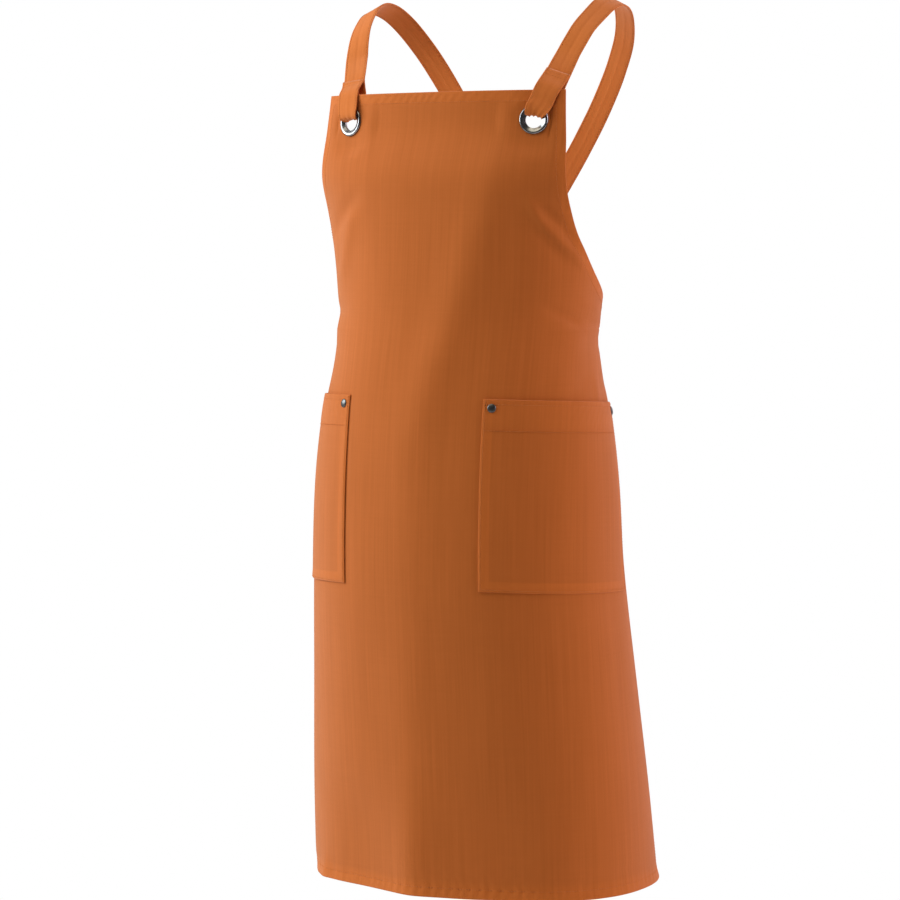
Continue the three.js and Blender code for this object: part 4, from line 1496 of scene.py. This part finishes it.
# The soft crease along the middle and the faint waves, both of which fade where the strap is squeezed
CREASE_DEPTH = 0.00022
CREASE_HALF_WIDTH = 0.045
STRAP_WAVE = 0.00022
LONG_WAVE = 0.021
LONG_WAVE_SLANT = 2.2
SHORT_WAVE = 0.013
SHORT_WAVE_SLANT = 3
SQUEEZE_FADE = 4


def strap_relief(stations, fraction, side, sizes):
    """Gathers at the eyelet, a soft crease along the middle and a little waviness."""
    squeeze = np.clip(1 - stations.width / sizes.width, 0, 1)[:, None]
    pleats = np.cos(math.pi * (PLEATS * fraction + PLEAT_SHIFT * side)) ** PLEAT_SHARPNESS
    gather = -((squeeze / FULL_SQUEEZE) ** SQUEEZE_POWER) * sizes.gather * pleats
    crease = -CREASE_DEPTH * np.exp(-((fraction / CREASE_HALF_WIDTH) ** 2))
    run = stations.length[:, None]
    wave = STRAP_WAVE * np.sin(run / LONG_WAVE + LONG_WAVE_SLANT * fraction + side)
    wave = wave * np.sin(run / SHORT_WAVE - SHORT_WAVE_SLANT * fraction)
    return gather + (crease + wave) * (1 - np.clip(SQUEEZE_FADE * squeeze, 0, 1))


class APRON_OT_straps(bpy.types.Operator):
    """Builds the two straps, doubled through the eyelets and crossed behind"""

    bl_idname = "apron.straps"
    bl_label = "Straps"

    def execute(self, context):
        sizes = settings().strap
        outer = EDGE_STEPS[:STRAP_EDGE_COLUMNS]
        first = EDGE_STEPS[STRAP_EDGE_COLUMNS]
        inner = np.linspace(first, sizes.width - first, STRAP_INNER_COLUMNS)
        across = np.concatenate([outer, inner, (sizes.width - outer)[::-1]])
        fraction = (across / sizes.width - 0.5)[None, :]
        edge = np.minimum(across, sizes.width - across)[None, :]
        for side_name, side in SIDES.items():
            stations = strap_stations(side_name, sizes.width)
            total = stations.length[-1]
            end = np.minimum(stations.length, total - stations.length)[:, None]
            inset = rounded_edge(np.minimum(edge, end + STRAP_END_ROUND), sizes.thick)
            half = sizes.thick / 2 - inset
            dent = dent_at(edge - sizes.edge_stitch, STRAP_DENT)
            relief = strap_relief(stations, fraction, side, sizes)
            front, _ = strap_point(stations, fraction, relief + half + dent)
            back, _ = strap_point(stations, fraction, relief - half - dent)
            grid = np.broadcast_to(across[None, :], front.shape[:2])
            uv = np.stack([grid, np.broadcast_to(stations.length[:, None], grid.shape)], axis=-1)
            piece = wall_between(f"apron_strap_{side_name}", front, back, {"cloth": uv})
            finished(piece, strap_cloth(), "strap_cloth", f"strap_{side_name}")
        return {"FINISHED"}


EYELET_SIDES = 96
EYELET_RIM = 0.0002
BARREL_WALL = 0.0009
FLANGE_LIP = 0.0003

# The ring behind the cloth: places in from its outer edge and out from the bore, with their depths
BACK_RING_OUTER = ((0.0, 0.0), (0.0001, 0.0005), (0.0008, 0.0009))
BACK_RING_INNER = ((0.0016, 0.0012), (0.0005, 0.0011), (0.0, 0.0005))

# The rolled ring leans inwards, and its swell is divided by its greatest value.
ROLL_STEPS = 22
ROLL_LEAN = 0.8
ROLL_PEAK = 1.194


class APRON_OT_eyelets(bpy.types.Operator):
    """Builds the two rolled eyelets"""

    bl_idname = "apron.eyelets"
    bl_label = "Eyelets"

    def execute(self, context):
        sizes = settings().metal
        cloth = settings().panel.cloth
        half = (sizes.eyelet_flange - sizes.eyelet_bore) / 2
        middle = sizes.eyelet_bore + half
        profile = []
        for turn in np.linspace(math.pi, 0, ROLL_STEPS):
            swell = math.sin(turn) * (1 + ROLL_LEAN * math.cos(turn)) / ROLL_PEAK
            height = EYELET_RIM + (sizes.eyelet_rise - EYELET_RIM) * swell
            profile.append((middle + half * math.cos(turn), height))
        back = -cloth - EYELET_RIM
        barrel = sizes.eyelet_bore + BARREL_WALL
        profile += [(sizes.eyelet_flange - FLANGE_LIP, 0.0), (barrel, 0.0), (barrel, back)]
        profile += [(sizes.eyelet_back - place, back - depth) for place, depth in BACK_RING_OUTER]
        profile += [(sizes.eyelet_bore + place, back - depth) for place, depth in BACK_RING_INNER]
        profile.append(profile[0])
        for side_name, seat in EYELET_SEATS.items():
            piece = turned(f"apron_eyelet_{side_name}", profile, seat, EYELET_SIDES)
            finished(piece, antique_nickel(), "eyelet_metal", f"eyelet_{side_name}")
        return {"FINISHED"}


RIVET_SIDES = 40
RIVET_SHANK = 0.0016
RIVET_SINK = 0.0004
RIVET_RIM = 0.0005
PLATE_GAP = 0.0004
PLATE_THICK = 0.0009
PLATE_MIDDLE = 0.0005
ROUNDING = 0.0003
DOME_STEPS = 12
DOME_POWER = 0.9
DOME_TIP = 0.00005


class APRON_OT_rivets(bpy.types.Operator):
    """Builds the four domed rivets at the pockets' top corners"""

    bl_idname = "apron.rivets"
    bl_label = "Rivets"

    def execute(self, context):
        sizes = settings().metal
        pocket = settings().pocket
        cloth = settings().panel.cloth
        base = pocket.gap + pocket.edge_thick - RIVET_SINK
        plate = -cloth - PLATE_GAP
        profile = [
            (PLATE_MIDDLE, plate - PLATE_THICK),
            (sizes.rivet_back - ROUNDING, plate - PLATE_THICK),
            (sizes.rivet_back, plate - PLATE_THICK + ROUNDING),
            (sizes.rivet_back, plate),
            (RIVET_SHANK, plate),
            (RIVET_SHANK, base),
            (sizes.rivet_radius - ROUNDING, base),
        ]
        for turn in np.linspace(0, math.pi / 2, DOME_STEPS):
            radius = max(sizes.rivet_radius * math.cos(turn), DOME_TIP)
            dome = (sizes.rivet_rise - RIVET_RIM) * math.sin(turn) ** DOME_POWER
            profile.append((radius, base + RIVET_RIM + dome))
        reach, drop = rivet_places(pocket, sizes.rivet_inset)
        for side_name, side in SIDES.items():
            for place, rivet_reach, rivet_drop in zip(("inner", "outer"), reach, drop):
                s = np.array(side * rivet_reach)
                low = np.array(rivet_drop + pocket_droop(rivet_reach, pocket))
                seat = (cloth_point(s, low, 0.0), outward(worn_point, s, low))
                name = f"rivet_{side_name}_{place}"
                piece = turned(f"apron_{name}", profile, seat, RIVET_SIDES)
                finished(piece, gunmetal(), "rivet_metal", name)
        return {"FINISHED"}


RUN_STEP = 0.004
RUN_ACROSS_POINTS = 9

# Heights of the hem's and the box's threads on the panel, and how deep those of pockets and straps lie
HEM_THREAD_RISE = -0.0001
BOX_THREAD_RISE = 0.0001
THREAD_SINK = 0.00015

# The stitched box and cross over each strap's end: the row of the strap's waist run from which it is
# measured, how far along it starts, its corners aside and along, and the corners that its lines join
BOX_ROW = 1
BOX_START = 0.012
BOX_CORNERS = ((-0.010, 0.0), (0.010, 0.0), (0.010, 0.030), (-0.010, 0.030))
BOX_LINES = ((0, 1), (1, 2), (2, 3), (3, 0), (0, 2), (1, 3))

POCKET_STITCH_START = 0.001


def along_to(start, end):
    """Places from start to end, close enough together to follow the cloth."""
    return np.linspace(start, end, max(2, round(abs(end - start) / RUN_STEP) + 1))


def panel_runs(sizes):
    """The hem's stitches all round, and the box and cross where each strap's end is sewn on."""
    inset = sizes.hem_stitch
    low = sizes.length - inset
    start = np.array(WAIST_RUN[BOX_ROW])
    end = np.array(WAIST_RUN[-1])
    way = (end - start) / np.linalg.norm(end - start)
    aside = np.array([way[1], -way[0]])
    corners = [start + way * BOX_START + aside * out + way * along for out, along in BOX_CORNERS]
    runs = []
    for drop in (inset, low):
        reach = float(half_width_at(np.array(drop)) - inset * hem_slant_at(np.array(drop)))
        s = along_to(-reach, reach)
        runs.append(cloth_run(s, np.full(s.shape, drop), HEM_THREAD_RISE))
    for side in SIDES.values():
        drop = along_to(inset, low)
        s = side * (half_width_at(drop) - inset * hem_slant_at(drop))
        runs.append(cloth_run(s, drop, HEM_THREAD_RISE))
        for first, second in BOX_LINES:
            line = np.linspace(corners[first], corners[second], RUN_ACROSS_POINTS)
            runs.append(cloth_run(side * line[:, 0], line[:, 1], BOX_THREAD_RISE))
    return runs


def pocket_runs(side, sizes):
    """The stitches round a pocket's sewn edges and along its band."""
    inset = sizes.edge_stitch
    deep = sizes.bottom - inset
    top = sizes.top + POCKET_STITCH_START
    inner = sizes.inner + inset
    outer = sizes.outer - inset
    lines = []
    for reach in (inner, outer):
        drop = along_to(top, deep)
        lines.append((np.full(drop.shape, reach), drop))
    band = sizes.top + sizes.band - BAND_STITCH_INSET
    for drop in (deep, sizes.top + sizes.mouth_stitch, band):
        reach = along_to(inner, outer)
        lines.append((reach, np.full(reach.shape, drop)))
    runs = []
    for reach, drop in lines:
        points = pocket_face(side, reach, drop, sizes, sizes.edge_thick - THREAD_SINK)
        normals = outward(worn_point, side * reach, drop + pocket_droop(reach, sizes))
        runs.append(Run(points, normals))
    return runs


# Where a strap's free end is sewn across, and the share of its width above which a strap lies flat
SEAM_ROWS = (0.0035, 0.0075)
FLAT_SHARE = 0.955


def strap_runs(side, side_name, sizes):
    """The stitches along a strap's edges on both faces, and across its sewn free end."""
    stations = strap_stations(side_name, sizes.width)
    half = sizes.thick / 2 - THREAD_SINK
    reach = 0.5 - sizes.edge_stitch / sizes.width
    runs = []
    bunched = np.flatnonzero(stations.width < FLAT_SHARE * sizes.width)
    flat_parts = (slice(0, bunched[0]), slice(bunched[-1] + 1, None))
    for face in (1, -1):
        for edge in (1, -1):
            fraction = np.full((1, 1), edge * reach)
            relief = strap_relief(stations, fraction, side, sizes)
            points, normals = strap_point(stations, fraction, relief + face * half)
            for part in flat_parts:
                runs.append(Run(points[part, 0], face * normals[part, 0]))
    fraction = np.linspace(-reach, reach, RUN_ACROSS_POINTS)[None, :]
    relief = strap_relief(stations, fraction, side, sizes)
    for face in (1, -1):
        points, normals = strap_point(stations, fraction, relief + face * half)
        for place in SEAM_ROWS:
            i = int(np.searchsorted(stations.length, place))
            runs.append(Run(points[i], face * normals[i]))
    return runs


class APRON_OT_sewing(bpy.types.Operator):
    """Sews the hems, pockets and straps with separate stitches"""

    bl_idname = "apron.sewing"
    bl_label = "Sewing"

    def execute(self, context):
        apron = settings()
        piece = sewn("sewing_panel", panel_runs(apron.panel), apron.stitch)
        finished(piece, sewing_thread(), "panel_cloth")
        for side_name, side in SIDES.items():
            piece = sewn(f"sewing_pocket_{side_name}", pocket_runs(side, apron.pocket), apron.stitch)
            finished(piece, sewing_thread(), "panel_cloth")
            piece = sewn(f"sewing_strap_{side_name}", strap_runs(side, side_name, apron.strap), apron.stitch)
            finished(piece, sewing_thread(), "strap_cloth")
        return {"FINISHED"}


# Stage


class Lamp(NamedTuple):
    """A soft light: its turn from the front to the wearer's left, its height angle, both in degrees,
    how far it is, its width and height, the setting of its power and its colour."""

    name: str
    turn: float
    climb: float
    distance: float
    width: float
    height: float
    power: str
    colour: tuple


LAMPS = [
    Lamp("left_light", -62, 26, 3.2, 2.8, 2.2, "left_power", (0.92, 1.0, 1.0)),
    Lamp("front_light", -12, 66, 3.2, 2.2, 2.2, "front_power", (1.0, 0.92, 0.68)),
    Lamp("right_light", 105, 20, 3.2, 2.2, 2.2, "right_power", (0.95, 0.86, 0.92)),
    Lamp("back_light", 168, 22, 3.2, 2.2, 2.2, "back_power", (1.0, 0.76, 0.78)),
]


def add_area_light(lamp, aim, power):
    """A large soft light that looks at a point."""
    data = bpy.data.lights.new(lamp.name, "AREA")
    data.shape = "RECTANGLE"
    data.size = lamp.width
    data.size_y = lamp.height
    data.energy = power
    data.color = lamp.colour
    turn = math.radians(lamp.turn)
    climb = math.radians(lamp.climb)
    level = lamp.distance * math.cos(climb)
    away = Vector((level * math.sin(turn), -level * math.cos(turn), lamp.distance * math.sin(climb)))
    light = bpy.data.objects.new(lamp.name, data)
    light.location = Vector(aim) + away
    light.rotation_euler = (-away).to_track_quat("-Z", "Y").to_euler()
    bpy.context.scene.collection.objects.link(light)


LIGHT_AIM = (0.0, 0.0, -0.5)
SENSOR_WIDTH = 36.0
FARTHEST_VIEW = 200.0
FLOOR_RADIUS = 30.0
FLOOR_SIDES = 96
WHITE = (1, 1, 1, 1)


class APRON_OT_stage(bpy.types.Operator):
    """Sets up the camera, the soft lights and the plain pale floor"""

    bl_idname = "apron.stage"
    bl_label = "Stage"

    def execute(self, context):
        stage = settings().stage
        data = bpy.data.cameras.new("camera")
        data.sensor_width = SENSOR_WIDTH
        data.lens = stage.lens
        data.clip_end = FARTHEST_VIEW
        camera = bpy.data.objects.new("camera", data)
        camera.location = stage.camera_place
        camera.rotation_mode = "QUATERNION"
        look = Vector(stage.camera_aim) - Vector(stage.camera_place)
        camera.rotation_quaternion = look.to_track_quat("-Z", "Y")
        context.scene.collection.objects.link(camera)
        context.scene.camera = camera

        for lamp in LAMPS:
            add_area_light(lamp, LIGHT_AIM, getattr(stage, lamp.power))

        world = bpy.data.worlds.new("studio")
        world.use_nodes = True
        tree = world.node_tree
        even = tree.nodes["Background"]
        even.inputs["Color"].default_value = WHITE
        even.inputs["Strength"].default_value = stage.room_light
        bright = tree.nodes.new("ShaderNodeBackground")
        bright.inputs["Color"].default_value = WHITE
        bright_to_camera(tree, even, bright, "World Output")
        context.scene.world = world
        context.scene.view_settings.view_transform = "Standard"

        mesh = bpy.data.meshes.new("floor")
        work = bmesh.new()
        bmesh.ops.create_circle(work, cap_ends=True, segments=FLOOR_SIDES, radius=FLOOR_RADIUS)
        work.to_mesh(mesh)
        work.free()
        floor = bpy.data.objects.new("floor", mesh)
        floor.location.z = -stage.floor_drop
        context.scene.collection.objects.link(floor)
        mesh.materials.append(pale_floor())
        return {"FINISHED"}


STEPS = (
    APRON_OT_stage, APRON_OT_body_panel, APRON_OT_pockets, APRON_OT_straps,
    APRON_OT_eyelets, APRON_OT_rivets, APRON_OT_sewing,
)


class APRON_PT_sidebar(bpy.types.Panel):
    """Lists the apron's pieces and their sizes"""

    bl_idname = "APRON_PT_sidebar"
    bl_label = "Apron"
    bl_space_type = "VIEW_3D"
    bl_region_type = "UI"
    bl_category = "Apron"

    def draw(self, context):
        for step in STEPS:
            self.layout.operator(step.bl_idname)
        for part in ApronSettings.__annotations__:
            box = self.layout.box()
            box.label(text=part.capitalize())
            group = getattr(context.scene.apron, part)
            for size in type(group).__annotations__:
                box.prop(group, size)


CLASSES = (
    PanelSizes, PocketSizes, StrapSizes, MetalSizes, StitchSizes, ApronColours, StageSettings,
    ApronSettings, *STEPS, APRON_PT_sidebar,
)


def register():
    """Adds the classes and the scene's settings."""
    for cls in CLASSES:
        bpy.utils.register_class(cls)
    bpy.types.Scene.apron = PointerProperty(type=ApronSettings)


def unregister():
    """Takes the settings and the classes away again."""
    del bpy.types.Scene.apron
    for cls in reversed(CLASSES):
        bpy.utils.unregister_class(cls)


def main():
    """Builds the whole apron."""
    register()
    bpy.ops.apron.stage()
    bpy.ops.apron.body_panel()
    bpy.ops.apron.pockets()
    bpy.ops.apron.straps()
    bpy.ops.apron.eyelets()
    bpy.ops.apron.rivets()
    bpy.ops.apron.sewing()


if __name__ == "__main__":
    main()
